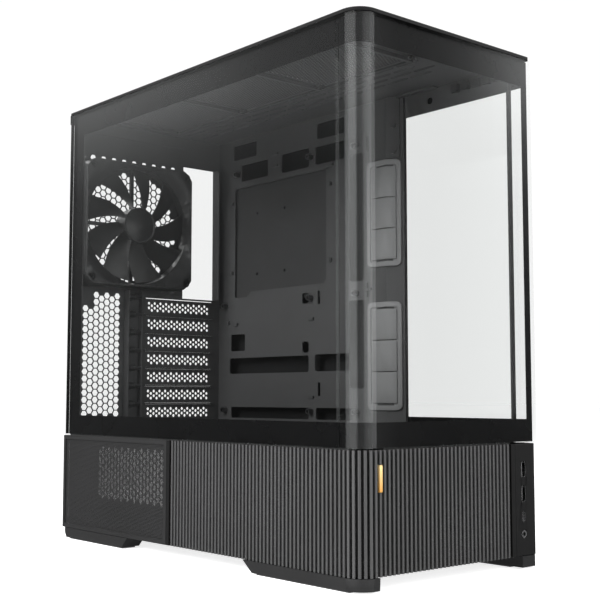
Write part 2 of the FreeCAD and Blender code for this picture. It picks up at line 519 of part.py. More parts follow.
def right_side():
    joint_y, x0 = -72.0, RIGHT - GLASS_T
    y0 = FRONT + GLASS_T + PRINT_T + 0.4
    parts["right_window"] = plate("x", x0, GLASS_T, rect(y0, joint_y, GLASS_Z0, GLASS_Z1))
    clear = rect(y0 + 0.4, joint_y - 6.0, BORDER_Z0, BORDER_Z1)
    parts["right_window_border"] = plate("x", x0 - PRINT_T, PRINT_T,
                                         rect(y0, joint_y, GLASS_Z0 + 0.5, GLASS_Z1 - 0.5),
                                         [(clear, 0.0)])
    z0, gap_y = FOOT_H + 0.5, joint_y + 0.4
    lower_y = -214.5
    side = [(lower_y, z0), (GLASS_REAR, z0), (GLASS_REAR, GLASS_Z1), (gap_y, GLASS_Z1),
            (gap_y, LOWER_TOP), (lower_y, LOWER_TOP)]
    sheet = plate("x", RIGHT - SHEET, SHEET, side)
    back = plate("y", GLASS_REAR - SHEET, SHEET, rect(99.0, RIGHT - SHEET, z0 + 1, GLASS_Z1 - 10),
                 [(104.0, z, 1.7) for z in (60.0, 250.0, 440.0)])
    parts["right_side_panel"] = fuse(sheet, back)
    x = x0 - PRINT_T
    bracket = [(x - 0.6, joint_y - 5), (x, joint_y - 5), (x, gap_y + 0.3), (RIGHT - SHEET, gap_y + 0.3),
               (RIGHT - SHEET, gap_y + 9), (RIGHT - 2 * SHEET, gap_y + 9),
               (RIGHT - 2 * SHEET, gap_y + 1.3), (x - 0.6, gap_y + 1.3)]
    parts["window_bracket"] = prism(bracket, 120, 455)
    screws = []
    for z in (60.0, 250.0, 440.0):
        screws.append(fuse(rod(4.5, (104, GLASS_REAR, z), (104, REAR, z)),
                           rod(1.6, (104, GLASS_REAR - 4.5, z), (104, GLASS_REAR, z))))
    parts["panel_thumbscrews"] = Part.makeCompound(screws)


def feet():
    foot_w, rubber = 21.0, 1.5
    blocks, pads = [], []
    for top_y, low_y in (((-232.0, -84.0), (-231.5, -97.0)), ((103.0, 231.0), (113.0, 224.5))):
        side = [(low_y[0], rubber), (low_y[1], rubber), (top_y[1], FOOT_H), (top_y[0], FOOT_H)]
        for sign in (-1, 1):
            x0, x1 = sorted((sign * (WIDTH / 2 - 0.5), sign * (WIDTH / 2 - 0.5 - foot_w)))
            block = plate("x", x0, x1 - x0, side)
            plan = prism(rect(LEFT + 0.5, RIGHT - 0.5, FRONT + 0.5, REAR - 0.5), 0, FOOT_H,
                         [CORNER_R - 0.5, 5.5, 5.5, 5.5])
            blocks.append(block.common(plan))
            inset = 16.0 if low_y[0] < 0 else 3.0
            pads.append(box(x0 + 3, x1 - 3, low_y[0] + inset, low_y[1] - 3, 0, rubber))
    parts["feet"] = Part.makeCompound(blocks)
    parts["foot_pads"] = Part.makeCompound(pads)


def bottom_filter():
    rails = []
    for sign in (-1, 1):
        a, b = sorted((sign * 66.0, sign * 68.0))
        c, d = sorted((sign * 62.0, sign * 68.0))
        rails.append(fuse(box(a, b, 62, 224, 6.5, FOOT_H), box(c, d, 62, 224, 5.5, 6.7)))
    parts["filter_rails"] = Part.makeCompound(rails)
    z0, z1 = 7.2, 10.6
    frame = plate("z", z0, z1 - z0, rect(-65, 65, 66, 226), [(rect(-58, 58, 73, 212), 2.0)], 1.0)
    grip = box(-20, 20, 226, 229, z0 - 3.0, z1)
    parts["psu_filter_frame"] = fuse(frame, grip)
    parts["psu_filter_mesh"] = plate("z", z0 + 1.2, 0.5, rect(-58, 58, 73, 212), (), 2.0)


lower_chassis()
rear_wall()
tray()
roof()
fan()
ribbed_cover()
connector_strip()
mesh_panel()
top()
glass_left()
glass_front()
right_side()
feet()
bottom_filter()

os.makedirs("parts", exist_ok=True)
for name, shape in sorted(parts.items()):
    if not shape.isValid():
        print("INVALID", name)
    shape.exportStep("parts/%s.step" % name)
    b = shape.BoundBox
    print("%-22s solids %2d  x %.1f..%.1f  y %.1f..%.1f  z %.1f..%.1f" % (
        name, len(shape.Solids), b.XMin, b.XMax, b.YMin, b.YMax, b.ZMin, b.ZMax))
print(len(parts), "nodes")
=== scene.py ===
# %% [markdown]
# # A mid-tower computer case
# The case is a folded steel frame that carries three glass panes, a ribbed plastic cover, a mesh
# side panel and one fan. The frame gives every piece its size and place, so this lesson only
# adds looks: better surfaces on the pieces whose shape is right, and finer pieces where a plain
# solid would show.

import json
import math

import bmesh
import bpy
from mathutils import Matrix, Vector


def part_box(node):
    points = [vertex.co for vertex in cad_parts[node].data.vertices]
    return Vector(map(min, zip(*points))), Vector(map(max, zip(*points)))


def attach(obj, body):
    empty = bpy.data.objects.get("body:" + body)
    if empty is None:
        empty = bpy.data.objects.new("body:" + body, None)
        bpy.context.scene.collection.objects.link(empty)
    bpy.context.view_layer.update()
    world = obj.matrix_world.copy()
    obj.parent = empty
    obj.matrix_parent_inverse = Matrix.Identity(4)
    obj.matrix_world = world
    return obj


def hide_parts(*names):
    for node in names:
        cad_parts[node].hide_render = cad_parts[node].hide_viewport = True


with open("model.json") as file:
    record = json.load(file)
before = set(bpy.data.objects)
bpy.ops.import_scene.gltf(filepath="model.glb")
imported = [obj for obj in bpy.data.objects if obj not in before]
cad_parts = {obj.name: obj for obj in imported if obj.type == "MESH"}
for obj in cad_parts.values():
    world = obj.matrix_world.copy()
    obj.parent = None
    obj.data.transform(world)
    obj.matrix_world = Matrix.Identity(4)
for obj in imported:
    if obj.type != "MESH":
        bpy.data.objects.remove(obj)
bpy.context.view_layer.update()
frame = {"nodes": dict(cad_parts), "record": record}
nodes = frame["nodes"]
MM = 0.001
print("pieces in the frame:", len(nodes))

# %% [markdown]
# ## Where the eye stands
# The camera is set first, because everything after it is judged through it. It stands at the
# front left corner, level with the lower glass, and looks slightly upwards: that is why the roof's
# underside shows through the side glass.

# %% Camera
EYE = (-0.7083, -0.8510, 0.1536)
YAW, PITCH = 0.7139, 0.0862
LENS_MM, SENSOR_MM = 66.07, 36.0


def aim(yaw, pitch):
    """Direction that points yaw to the right of +Y and pitch above the horizon."""
    level = math.cos(pitch)
    return Vector((math.sin(yaw) * level, math.cos(yaw) * level, math.sin(pitch)))


camera_data = bpy.data.cameras.new("camera")
camera_data.lens = LENS_MM
camera_data.sensor_width = SENSOR_MM
camera_data.clip_start = 0.05
camera = bpy.data.objects.new("camera", camera_data)
camera.location = EYE
camera.rotation_euler = aim(YAW, PITCH).to_track_quat("-Z", "Y").to_euler()
bpy.context.scene.collection.objects.link(camera)
bpy.context.scene.camera = camera
bpy.context.scene.view_settings.view_transform = "Standard"
print("camera at", EYE)

# %% [markdown]
# ## Sums written as Python
# Shader and geometry trees are easier to read as sums than as lists of links. Sum wraps a socket,
# and its operators add Math nodes, so `1 - mask * 0.5` builds the nodes it says. Graph adds any
# other node: settings first, then sockets, by name or by place for names that repeat.


# %% A socket that does sums, and a graph that makes nodes
class Sum:
    """An output socket whose operators add Math nodes to its tree."""

    def __init__(self, tree, socket):
        self.tree, self.socket = tree, socket

    def math(self, operation, *others):
        node = self.tree.nodes.new("ShaderNodeMath")
        node.operation = operation
        for slot, value in zip(node.inputs, (self,) + others):
            if isinstance(value, Sum):
                self.tree.links.new(value.socket, slot)
            else:
                slot.default_value = value
        return Sum(self.tree, node.outputs[0])

    def __add__(self, other): return self.math("ADD", other)
    def __radd__(self, other): return self.math("ADD", other)
    def __sub__(self, other): return self.math("SUBTRACT", other)
    def __rsub__(self, other): return self.math("MULTIPLY", -1.0).math("ADD", other)
    def __mul__(self, other): return self.math("MULTIPLY", other)
    def __rmul__(self, other): return self.math("MULTIPLY", other)
    def __truediv__(self, other): return self.math("DIVIDE", other)
    def clamped(self): return self.math("MINIMUM", 1.0).math("MAXIMUM", 0.0)


class Graph:
    """A node tree with one method that makes any node."""

    def __init__(self, tree):
        self.tree = tree
        self.tree.nodes.clear()

    def make(self, kind, settings=None, output=0, **sockets):
        node = self.tree.nodes.new(kind)
        for key, value in (settings or {}).items():
            if key == "stops":
                ramp = node.color_ramp.elements
                while len(ramp) < len(value):
                    ramp.new(0.5)
                for element, (place, level) in zip(ramp, value):
                    element.position, element.color = place, (level, level, level, 1.0)
            else:
                setattr(node, key, value)
        for key, value in sockets.items():
            by_place = key[0] == "i" and key[1:].isdigit()
            socket = node.inputs[int(key[1:]) if by_place else key.replace("_", " ")]
            if isinstance(value, Sum):
                self.tree.links.new(value.socket, socket)
            elif socket.type == "RGBA":
                socket.default_value = (*value, 1.0)
            else:
                socket.default_value = value
        return Sum(self.tree, node.outputs[output]) if len(node.outputs) else None

    def pick(self, made, name):
        """Another output of the node that made this one."""
        return Sum(self.tree, made.socket.node.outputs[name])


print("sums and graphs are ready")

# %% [markdown]
# ## Painted, moulded and plated surfaces
# None of the case's blacks is a flat black. Powder coat has a fine orange-peel grain, moulded
# plastic a finer one, and handling leaves both slightly uneven. Two noises give that: a broad one
# for colour, a fine one for bump and roughness. Every recipe below differs only in its numbers.


# %% One recipe for every opaque finish
class Finish(Graph):
    """A material under construction; out() closes it."""

    def __init__(self, name):
        self.material = bpy.data.materials.new(name)
        self.material.use_nodes = True
        super().__init__(self.material.node_tree)
        self.where = self.make("ShaderNodeTexCoord", output=3)

    def axes(self):
        """X, Y and Z of the shaded point on the piece, in metres."""
        split = self.make("ShaderNodeSeparateXYZ", i0=self.where)
        return [self.pick(split, name) for name in "XYZ"]

    def colours(self, mask, low, high):
        """A colour that goes from low to high with the mask."""
        return self.make("ShaderNodeMix", {"data_type": "RGBA"}, 2, i0=mask, i6=low, i7=high)

    def out(self, shader):
        self.make("ShaderNodeOutputMaterial", i0=shader)
        return self.material


def grained(name, low, high, rough, grain, depth, metallic=0.0, shine=0.25):
    """A painted, moulded or plated surface: mottled from low to high, with a fine grain in both bump
    (depth in metres) and roughness. A lower shine stands for a coat that scatters its gloss away."""
    f = Finish(name)
    broad = f.make("ShaderNodeTexNoise", Vector=f.where, Scale=14.0, Detail=3.0)
    fine = f.make("ShaderNodeTexNoise", Vector=f.where, Scale=grain, Detail=2.0)
    bump = f.make("ShaderNodeBump", Height=fine, Strength=0.35, Distance=depth)
    return f.out(f.make(
        "ShaderNodeBsdfPrincipled",
        Base_Color=f.colours(broad, (low,) * 3, (high, high, high * 1.03)),
        Roughness=rough + (fine - 0.5) * 0.12 + (broad - 0.5) * 0.06,
        Specular_IOR_Level=shine, Metallic=metallic, Normal=bump))


steel = grained("powder_coated_steel", 0.036, 0.047, 0.42, 900.0, 0.0002, shine=0.12)
plastic = grained("moulded_plastic", 0.014, 0.020, 0.44, 1400.0, 0.0001, shine=0.2)
rib_plastic = grained("satin_ribs", 0.036, 0.050, 0.26, 1400.0, 0.0001, shine=0.5)
fan_black = grained("fan_plastic", 0.012, 0.018, 0.30, 1800.0, 0.00008, shine=0.4)
rubber = grained("soft_rubber", 0.105, 0.125, 0.50, 700.0, 0.0002)
black_zinc = grained("blackened_screws", 0.030, 0.050, 0.34, 2500.0, 0.00008, 0.6)
plated_post = grained("dark_plated_posts", 0.16, 0.24, 0.30, 2500.0, 0.00006, 1.0)
plated_shell = grained("plated_shells", 0.46, 0.60, 0.26, 2200.0, 0.00005, 1.0)
# Painted shade: a darker steel for the drive plate, which stands in shade.
plate_steel_with_painted_shade = grained("drive_plate_steel", 0.024, 0.032, 0.46, 900.0, 0.0002, shine=0.12)
# Painted shade: a near-black steel for the right side panel, seen in shade through the tray's cut-outs.
painted_shade_steel = grained("shaded_steel", 0.007, 0.012, 0.55, 900.0, 0.0002, shine=0.08)
# The blacker plastic is the top cover's and connector strip's own colour; on the rib wall it is painted
# shade.
black_plastic_and_painted_rib_shade = grained("matt_black_plastic", 0.005, 0.009, 0.50, 1400.0, 0.0001, shine=0.15)
board = grained("circuit_board", 0.010, 0.018, 0.30, 1200.0, 0.00006)
thread = grained("mesh_thread", 0.016, 0.026, 0.50, 3000.0, 0.00004)
print("opaque finishes:", len(bpy.data.materials))

# %% [markdown]
# ## Glass and its printed border
# Toughened glass this thin hardly bends what is behind it, so it is a clear layer mixed with a
# mirror layer. The mirror grows with the fifth power of how far the pane is turned away, as on real
# glass, and the same from both sides, which a plain Fresnel node isn't on a sheet that doesn't bend
# light. The border is black enamel fired on the inside face, so it reads as a deep gloss black.


# %% Glass, print and the gold bar
def clear_glass():
    f = Finish("clear_glass")
    smear = f.make("ShaderNodeTexNoise", Vector=f.where, Scale=9.0, Detail=4.0)
    mirror = f.make("ShaderNodeBsdfAnisotropic", Color=(0.95, 0.97, 0.97),
                    Roughness=0.008 + smear * 0.012)
    through = f.make("ShaderNodeBsdfTransparent", Color=(0.966, 0.97, 0.968))
    turned_away = f.make("ShaderNodeLayerWeight", output=1, Blend=0.5)
    tilt = turned_away.math("POWER", 5.0) * 0.96 + 0.04
    return f.out(f.make("ShaderNodeMixShader", i0=tilt * (0.85 + smear * 0.1), i1=through, i2=mirror))


def black_print():
    f = Finish("black_enamel_print")
    haze = f.make("ShaderNodeTexNoise", Vector=f.where, Scale=22.0, Detail=3.0)
    return f.out(f.make(
        "ShaderNodeBsdfPrincipled", Roughness=0.25 + haze * 0.05, Specular_IOR_Level=0.1,
        Base_Color=f.colours(haze, (0.0028, 0.0028, 0.0029), (0.0042, 0.0042, 0.0044))))


def gold_bar(bottom, top):
    f = Finish("gold_to_amber_bar")
    up = ((f.axes()[2] - bottom) / (top - bottom)).clamped()
    return f.out(f.make(
        "ShaderNodeBsdfPrincipled", Base_Color=f.colours(up, (0.50, 0.22, 0.03), (0.80, 0.60, 0.28)),
        Roughness=0.30 + up * 0.08))


bar_low, bar_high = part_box("power_button")
glass, enamel, gold = clear_glass(), black_print(), gold_bar(bar_low.z, bar_high.z)
print("all finishes:", len(bpy.data.materials))

# %% Give every node of the frame its finish
FINISHES = {
    "steel_black": steel, "fastener_black": black_zinc, "standoff_steel": plated_post,
    "plastic_black": plastic, "filter_mesh": thread, "rubber_black": rubber,
    "fan_plastic": fan_black, "glass_clear": glass, "print_black": enamel, "gold_amber": gold,
    "socket_metal": plated_shell, "board_black": board,
}
# Four nodes take a darker finish than the rest of their slot. On the right side panel and the drive
# plate the darker steel is painted shade; the top cover and the connector strip are a blacker plastic.
DARKER = {"right_side_panel": painted_shade_steel, "drive_plate": plate_steel_with_painted_shade, "top_cover": black_plastic_and_painted_rib_shade,
          "connector_strip": black_plastic_and_painted_rib_shade}
SLOT_OF = {part["node"]: part["material_slot"] for part in frame["record"]["subparts"]}
for name, slot in SLOT_OF.items():
    nodes[name].data.materials.clear()
    nodes[name].data.materials.append(DARKER.get(name, FINISHES[slot]))
print("nodes with a finish:", len(SLOT_OF))

# %% [markdown]
# ## Floor and light
# A pale floor and large soft lights, as in a product studio. The sky is white where the camera sees
# it, an even grey where it lights matt surfaces, and what black glass mirrors is a row of soft
# walls: their heights and edges are the two ramps below, one over the compass and one over height.


# %% Floor
FLOOR_HALF, FLOOR_GLOW = 14.0, 0.8


def floor():
    """A pale floor that glows a little, so that it stays white up to the case's own shadow."""
    r = FLOOR_HALF
    mesh = bpy.data.meshes.new("floor")
    mesh.from_pydata([(-r, -r, 0), (r, -r, 0), (r, r, 0), (-r, r, 0)], [], [(0, 1, 2, 3)])
    obj = bpy.data.objects.new("floor", mesh)
    bpy.context.scene.collection.objects.link(obj)
    f = Finish("pale_floor")
    cloud = f.make("ShaderNodeTexNoise", Vector=f.where, Scale=3.0, Detail=2.0)
    mesh.materials.append(f.out(f.make(
        "ShaderNodeBsdfPrincipled", Roughness=0.95,
        Base_Color=f.colours(cloud, (0.86, 0.86, 0.86), (0.88, 0.88, 0.88)),
        Emission_Color=(1.0, 1.0, 1.0), Emission_Strength=FLOOR_GLOW)))
    obj.visible_glossy = False


floor()
print("floor laid")


# %% Sky
BACKDROP, MATT_LIGHT, MIRROR_FLOOR = 1.02, 0.16, 0.02
# Walls as (degrees, brightness): the compass runs from +Y towards +X, height from the horizon up.
SIDE_WALLS = ((-48, 0.0), (-44, 0.30), (-39, 0.42), (-35, 1.0), (-29, 1.9), (-12, 2.6), (20, 1.5),
              (70, 1.2), (112, 2.4), (127, 2.4), (129.2, 1.0), (131, 0.28), (133, 0.03), (180, 0.0))
CORNER_WALLS = ((-180, 1.7), (-160, 1.2), (-148, 0.6), (-122, 0.5), (-110, 2.3), (-62, 2.4), (-53, 1.2),
                (-48, 0.0), (136, 0.0), (140, 2.2), (162, 2.2), (170, 1.7), (180, 1.7))
SIDE_HEIGHT = ((-12, 0.0), (-4, 0.03), (0, 0.05), (6, 0.08), (10, 0.14), (13, 0.4), (16, 1.0),
               (30, 1.3), (60, 0.4))
CORNER_HEIGHT = ((-20, 0.0), (-6, 0.9), (26, 1.0), (40, 0.2), (60, 0.2))
ROUND, RISE = (-180, 180), (-30, 90)
BRIGHTEST_WALL, BRIGHTEST_HEIGHT = 4.0, 2.0
DEGREES = 180.0 / math.pi


def ramp_over(graph, value, low, high, stops, top):
    """Brightness read from stops over a range of degrees; top is the brightest."""
    spread = [((place - low) / (high - low), level / top) for place, level in stops]
    return graph.make("ShaderNodeValToRGB", {"stops": spread}, Fac=(value - low) / (high - low)) * top


def sky():
    """White to the eye, soft grey to matt surfaces, and the walls to whatever mirrors them."""
    world = bpy.data.worlds.new("sky")
    bpy.context.scene.world = world
    world.use_nodes = True
    g = Graph(world.node_tree)
    split = g.make("ShaderNodeSeparateXYZ", i0=g.make("ShaderNodeTexCoord"))
    x, y, z = [g.pick(split, name) for name in "XYZ"]
    compass = x.math("ARCTAN2", y) * DEGREES
    height = z.math("ARCSINE") * DEGREES
    side = (ramp_over(g, compass, *ROUND, SIDE_WALLS, BRIGHTEST_WALL)
            * ramp_over(g, height, *RISE, SIDE_HEIGHT, BRIGHTEST_HEIGHT))
    corner = (ramp_over(g, compass, *ROUND, CORNER_WALLS, BRIGHTEST_WALL)
              * ramp_over(g, height, *RISE, CORNER_HEIGHT, BRIGHTEST_HEIGHT))
    path = g.make("ShaderNodeLightPath")
    seen, mirrored = g.pick(path, "Is Camera Ray"), g.pick(path, "Is Glossy Ray")
    matt = 1.0 - seen - mirrored
    strength = (seen * BACKDROP + mirrored * (side + corner + MIRROR_FLOOR)
                + matt.clamped() * MATT_LIGHT)
    shine = g.make("ShaderNodeBackground", Color=(1.0, 1.0, 1.0), Strength=strength)
    g.make("ShaderNodeOutputWorld", i0=shine)


sky()
print("stops in the walls:", len(SIDE_WALLS) + len(CORNER_WALLS))


# %% Soft lights
def soft_light(name, place, target, size, watts):
    """A rectangular lamp that mirrors don't show."""
    lamp = bpy.data.lights.new(name, "AREA")
    lamp.shape = "RECTANGLE"
    lamp.size, lamp.size_y = size
    lamp.energy = watts
    obj = bpy.data.objects.new(name, lamp)
    obj.location = place
    obj.rotation_euler = (Vector(target) - Vector(place)).to_track_quat("-Z", "Y").to_euler()
    obj.visible_glossy = False
    bpy.context.scene.collection.objects.link(obj)


soft_light("left_window", (-1.6, -0.1, 1.15), (0, 0, 0.25), (0.8, 1.1), 62.0)
soft_light("front_window", (0.3, -1.8, 0.9), (0, 0, 0.3), (0.8, 0.8), 22.0)
soft_light("overhead", (-0.2, -0.3, 2.0), (0, 0, 0.2), (1.4, 1.4), 18.0)
print("lights:", len(bpy.data.lights))

# %% [markdown]
# ## Small tools for shapes
# Most pieces are a ring of points carried along a path, so one function joins rings into a closed
# shell. Every new piece rides on a body of the frame and takes the finish it is given.


# %% Shells, boxes and turned shapes, all in millimetres
def shell(rings, closed_path=False):
    """Closed mesh through rings of points; the ends get caps unless the path itself is closed."""
    mesh, count = bpy.data.meshes.new("shell"), len(rings[0])
    verts = [tuple(c * MM for c in point) for ring in rings for point in ring]
    faces = []
    for i in range(len(rings) if closed_path else len(rings) - 1):
        a, b = i * count, (i + 1) % len(rings) * count
        faces += [(a + k, a + (k + 1) % count, b + (k + 1) % count, b + k) for k in range(count)]
    if not closed_path:
        faces += [tuple(range(count))[::-1], tuple(range(len(verts) - count, len(verts)))]
    mesh.from_pydata(verts, [], faces)
    work = bmesh.new()
    work.from_mesh(mesh)
    bmesh.ops.recalc_face_normals(work, faces=work.faces)
    work.to_mesh(mesh)
    work.free()
    return mesh


def block(x0, x1, y0, y1, z0, z1, soft=0.0):
    """Box whose upright edges along Z are chamfered by soft."""
    s = soft
    plan = [(x0 + s, y0), (x1 - s, y0), (x1, y0 + s), (x1, y1 - s), (x1 - s, y1), (x0 + s, y1),
            (x0, y1 - s), (x0, y0 + s)] if soft else [(x0, y0), (x1, y0), (x1, y1), (x0, y1)]
    return shell([[(x, y, z) for x, y in plan] for z in (z0, z1)])


def turned(profile, centre, axis, steps=48):
    """Solid turned from (radius, distance along the axis) pairs."""
    cx, cy, cz = centre
    rings = []
    for radius, along in profile:
        ring = []
        for k in range(steps):
            a = 2 * math.pi * k / steps
            u, v = radius * math.cos(a), radius * math.sin(a)
            ring.append({"x": (cx + along, cy + u, cz + v), "y": (cx + u, cy + along, cz + v),
                         "z": (cx + u, cy + v, cz + along)}[axis])
        rings.append(ring)
    return shell(rings)


print("shapes are ready")


# %% Joining meshes and placing a piece
def joined(name, meshes):
    """One mesh out of several."""
    work = bmesh.new()
    for mesh in meshes:
        work.from_mesh(mesh)
    whole = bpy.data.meshes.new(name)
    work.to_mesh(whole)
    work.free()
    return whole


def piece(name, mesh, material, body, replaced=(), sharp=35.0):
    """Puts a finished mesh in the scene, smooth except at sharp edges, and binds it to a body."""
    mesh.materials.clear()
    mesh.materials.append(material)
    for face in mesh.polygons:
        face.material_index = 0
    mesh.shade_smooth()
    mesh.set_sharp_from_angle(angle=math.radians(sharp))
    obj = bpy.data.objects.new(name, mesh)
    bpy.context.scene.collection.objects.link(obj)
    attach(obj, body)
    if replaced:
        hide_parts(*replaced)
    return obj


def soften(width, *names):
    """Rounds a CAD node's sharp edges with a small bevel, in millimetres."""
    for name in names:
        weld = nodes[name].modifiers.new("weld", "WELD")
        weld.merge_threshold = 0.00001
        bevel = nodes[name].modifiers.new("bevel", "BEVEL")
        bevel.width, bevel.segments = width * MM, 2
        bevel.limit_method, bevel.angle_limit = "ANGLE", math.radians(50)
        bevel.harden_normals = False


soften(0.35, "left_glass", "right_window")
soften(0.5, "mesh_panel_frame", "connector_strip", "power_button")
soften(0.6, "feet", "top_cover")
soften(0.3, "motherboard_tray", "drive_plate", "corner_bracket", "right_rail")
print("softened nodes:", sum(1 for node in nodes.values() if node.modifiers))

# %% [markdown]
# ## Recipes for what repeats
# Three geometry recipes make everything that repeats on this case: a ring of copies round an axis,
# a grid of copies, and a row of bars that follows a bent path. Sizes are named inputs, so the same
# recipe makes blades and knurls, or threads and perforations.


# %% A recipe and how to grow a mesh from it
class Recipe(Graph):
    """A geometry tree whose inputs carry names and kinds."""

    def __init__(self, name, **inputs):
        super().__init__(bpy.data.node_groups.new(name, "GeometryNodeTree"))
        face = self.tree.interface
        face.new_socket("Shape", in_out="INPUT", socket_type="NodeSocketGeometry")
        for key, kind in dict(inputs, Finish="Material").items():
            face.new_socket(key.replace("_", " "), in_out="INPUT", socket_type="NodeSocket" + kind)
        face.new_socket("Shape", in_out="OUTPUT", socket_type="NodeSocketGeometry")
        self.inputs = self.make("NodeGroupInput")

    def given(self, name):
        return self.pick(self.inputs, name)

    def out(self, instances):
        solid = self.make("GeometryNodeRealizeInstances", Geometry=instances)
        done = self.make("GeometryNodeSetMaterial", Geometry=solid, Material=self.given("Finish"))
        self.make("NodeGroupOutput", i0=done)
        return self


def grow(recipe, shape, material, **values):
    """Runs a recipe on a shape and returns the result as a plain mesh."""
    host = bpy.data.objects.new("host", shape)
    bpy.context.scene.collection.objects.link(host)
    step = host.modifiers.new("recipe", "NODES")
    step.node_group = recipe.tree
    values = dict(values, Finish=material)
    for item in recipe.tree.interface.items_tree:
        key = item.name.replace(" ", "_")
        if item.in_out == "INPUT" and key in values:
            step[item.identifier] = values[key]
    ready = bpy.context.evaluated_depsgraph_get()
    mesh = bpy.data.meshes.new_from_object(host.evaluated_get(ready), depsgraph=ready)
    bpy.data.objects.remove(host)
    return mesh


print("recipes can be grown")


# %% Ring, grid and bar row
def ring_recipe():
    """Copies of a shape turned about the Y axis, then moved to a centre."""
    g = Recipe("copies_round_an_axis", Count="Int", Centre="Vector")
    turn = g.make("GeometryNodeInputIndex") * (2 * math.pi) / g.given("Count")
    spin = g.make("ShaderNodeCombineXYZ", Y=turn)
    marks = g.make("GeometryNodePoints", Count=g.given("Count"), Position=g.given("Centre"))
    return g.out(g.make("GeometryNodeInstanceOnPoints", Points=marks, Instance=g.given("Shape"),
                        Rotation=spin))


def grid_recipe():
    """Copies at column and row steps; every second column is shifted, as in a honeycomb."""
    g = Recipe("copies_on_a_grid", Columns="Int", Rows="Int", Column_Step="Vector",
               Row_Step="Vector", Shift="Vector")
    index = g.make("GeometryNodeInputIndex")
    column = (index / g.given("Rows")).math("FLOOR")
    row = index - column * g.given("Rows")
    odd = column.math("MODULO", 2.0)
    place = None
    for step, times in (("Column Step", column), ("Row Step", row), ("Shift", odd)):
        move = g.make("ShaderNodeVectorMath", {"operation": "SCALE"}, Vector=g.given(step), Scale=times)
        place = move if place is None else g.make("ShaderNodeVectorMath", i0=place, i1=move)
    marks = g.make("GeometryNodePoints", Count=g.given("Columns") * g.given("Rows"), Position=place)
    return g.out(g.make("GeometryNodeInstanceOnPoints", Points=marks, Instance=g.given("Shape")))


def bar_recipe():
    """Upright bars with rounded corners, spaced along a bent path and square to it."""
    g = Recipe("bars_along_a_path", First="Float", Pitch="Float", Count="Int", Width="Float",
               Depth="Float", Round="Float", Height="Float")
    path = g.make("GeometryNodeMeshToCurve", Mesh=g.given("Shape"))
    reach = g.given("First") + g.make("GeometryNodeInputIndex") * g.given("Pitch")
    sample = g.make("GeometryNodeSampleCurve", {"mode": "LENGTH"}, Curves=path, Length=reach)
    marks = g.make("GeometryNodePoints", Count=g.given("Count"), Position=g.pick(sample, "Position"))
    square = g.make("FunctionNodeAlignRotationToVector", {"axis": "X", "pivot_axis": "Z"},
                    Vector=g.pick(sample, "Tangent"))
    outline = g.make("GeometryNodeCurvePrimitiveQuadrilateral", Width=g.given("Width"),
                     Height=g.given("Depth"))
    outline = g.make("GeometryNodeFilletCurve", {"mode": "POLY"}, Curve=outline, Count=3,
                     Radius=g.given("Round"))
    rail = g.make("GeometryNodeCurvePrimitiveLine",
                  End=g.make("ShaderNodeCombineXYZ", Z=g.given("Height")))
    bar = g.make("GeometryNodeCurveToMesh", Curve=rail, Profile_Curve=outline, Fill_Caps=True)
    return g.out(g.make("GeometryNodeInstanceOnPoints", Points=marks, Instance=bar, Rotation=square))


ring, grid, bars = ring_recipe(), grid_recipe(), bar_recipe()
print("recipes:", len(bpy.data.node_groups))

# %% [markdown]
# ## The ribbed cover
# The lower front is one moulding that wraps the corner, with upright ribs at an even pitch. A bent
# path and the bar recipe place each rib square to the surface, round the corner too. One rib gives
# way to the power button, so that rib comes in two lengths, above and below the button's slot.

# %% The path round the corner
WIDTH, DEPTH = 221.0, 465.0
LEFT, FRONT, CORNER_R = -WIDTH / 2, -DEPTH / 2, 18.0
COVER_X1, COVER_Y1, COVER_Z0, COVER_Z1 = 79.3, 33.5, 12.0, 110.5
RIB_PITCH, RIB_W, RIB_DEPTH, COVER_T = 4.95, 2.5, 3.0, 5.0
FLAT = COVER_X1 - LEFT - CORNER_R
TURN = CORNER_R * math.pi / 2
COVER_LENGTH = FLAT + TURN + COVER_Y1 - FRONT - CORNER_R


def along_corner(s, inset, x_end=COVER_X1):
    """Point s millimetres along the front and round the corner, from x_end, moved inwards."""
    flat = x_end - LEFT - CORNER_R
    cx, cy = LEFT + CORNER_R, FRONT + CORNER_R
    if s <= flat:
        return x_end - s, FRONT + inset
    if s <= flat + TURN:
        a = math.pi * 1.5 - (s - flat) / CORNER_R
        return cx + (CORNER_R - inset) * math.cos(a), cy + (CORNER_R - inset) * math.sin(a)
    return LEFT + inset, cy + s - flat - TURN


def path_mesh(inset, z):
    """The cover's outline as a chain of edges, for the bar recipe."""
    marks = [0.0, FLAT] + [FLAT + TURN * k / 24 for k in range(1, 25)] + [COVER_LENGTH]
    mesh = bpy.data.meshes.new("path")
    points = [along_corner(s, inset) for s in marks]
    mesh.from_pydata([(x * MM, y * MM, z * MM) for x, y in points],
                     [(k, k + 1) for k in range(len(points) - 1)], [])
    return mesh, sum(math.dist(a, b) for a, b in zip(points, points[1:]))


print("length of the cover round the corner:", round(COVER_LENGTH, 1))


# %% Ribs
FIRST_RIB, RIB_ROUND = 4.0, 0.55
BUTTON_X, BUTTON_Z0, BUTTON_Z1, BUTTON_GAP = -88.05, 77.5, 98.8, 0.4
BUTTON_RIB = round((COVER_X1 - BUTTON_X - FIRST_RIB) / RIB_PITCH)
RIB_COUNT = int((COVER_LENGTH - 3.0 - FIRST_RIB) / RIB_PITCH)


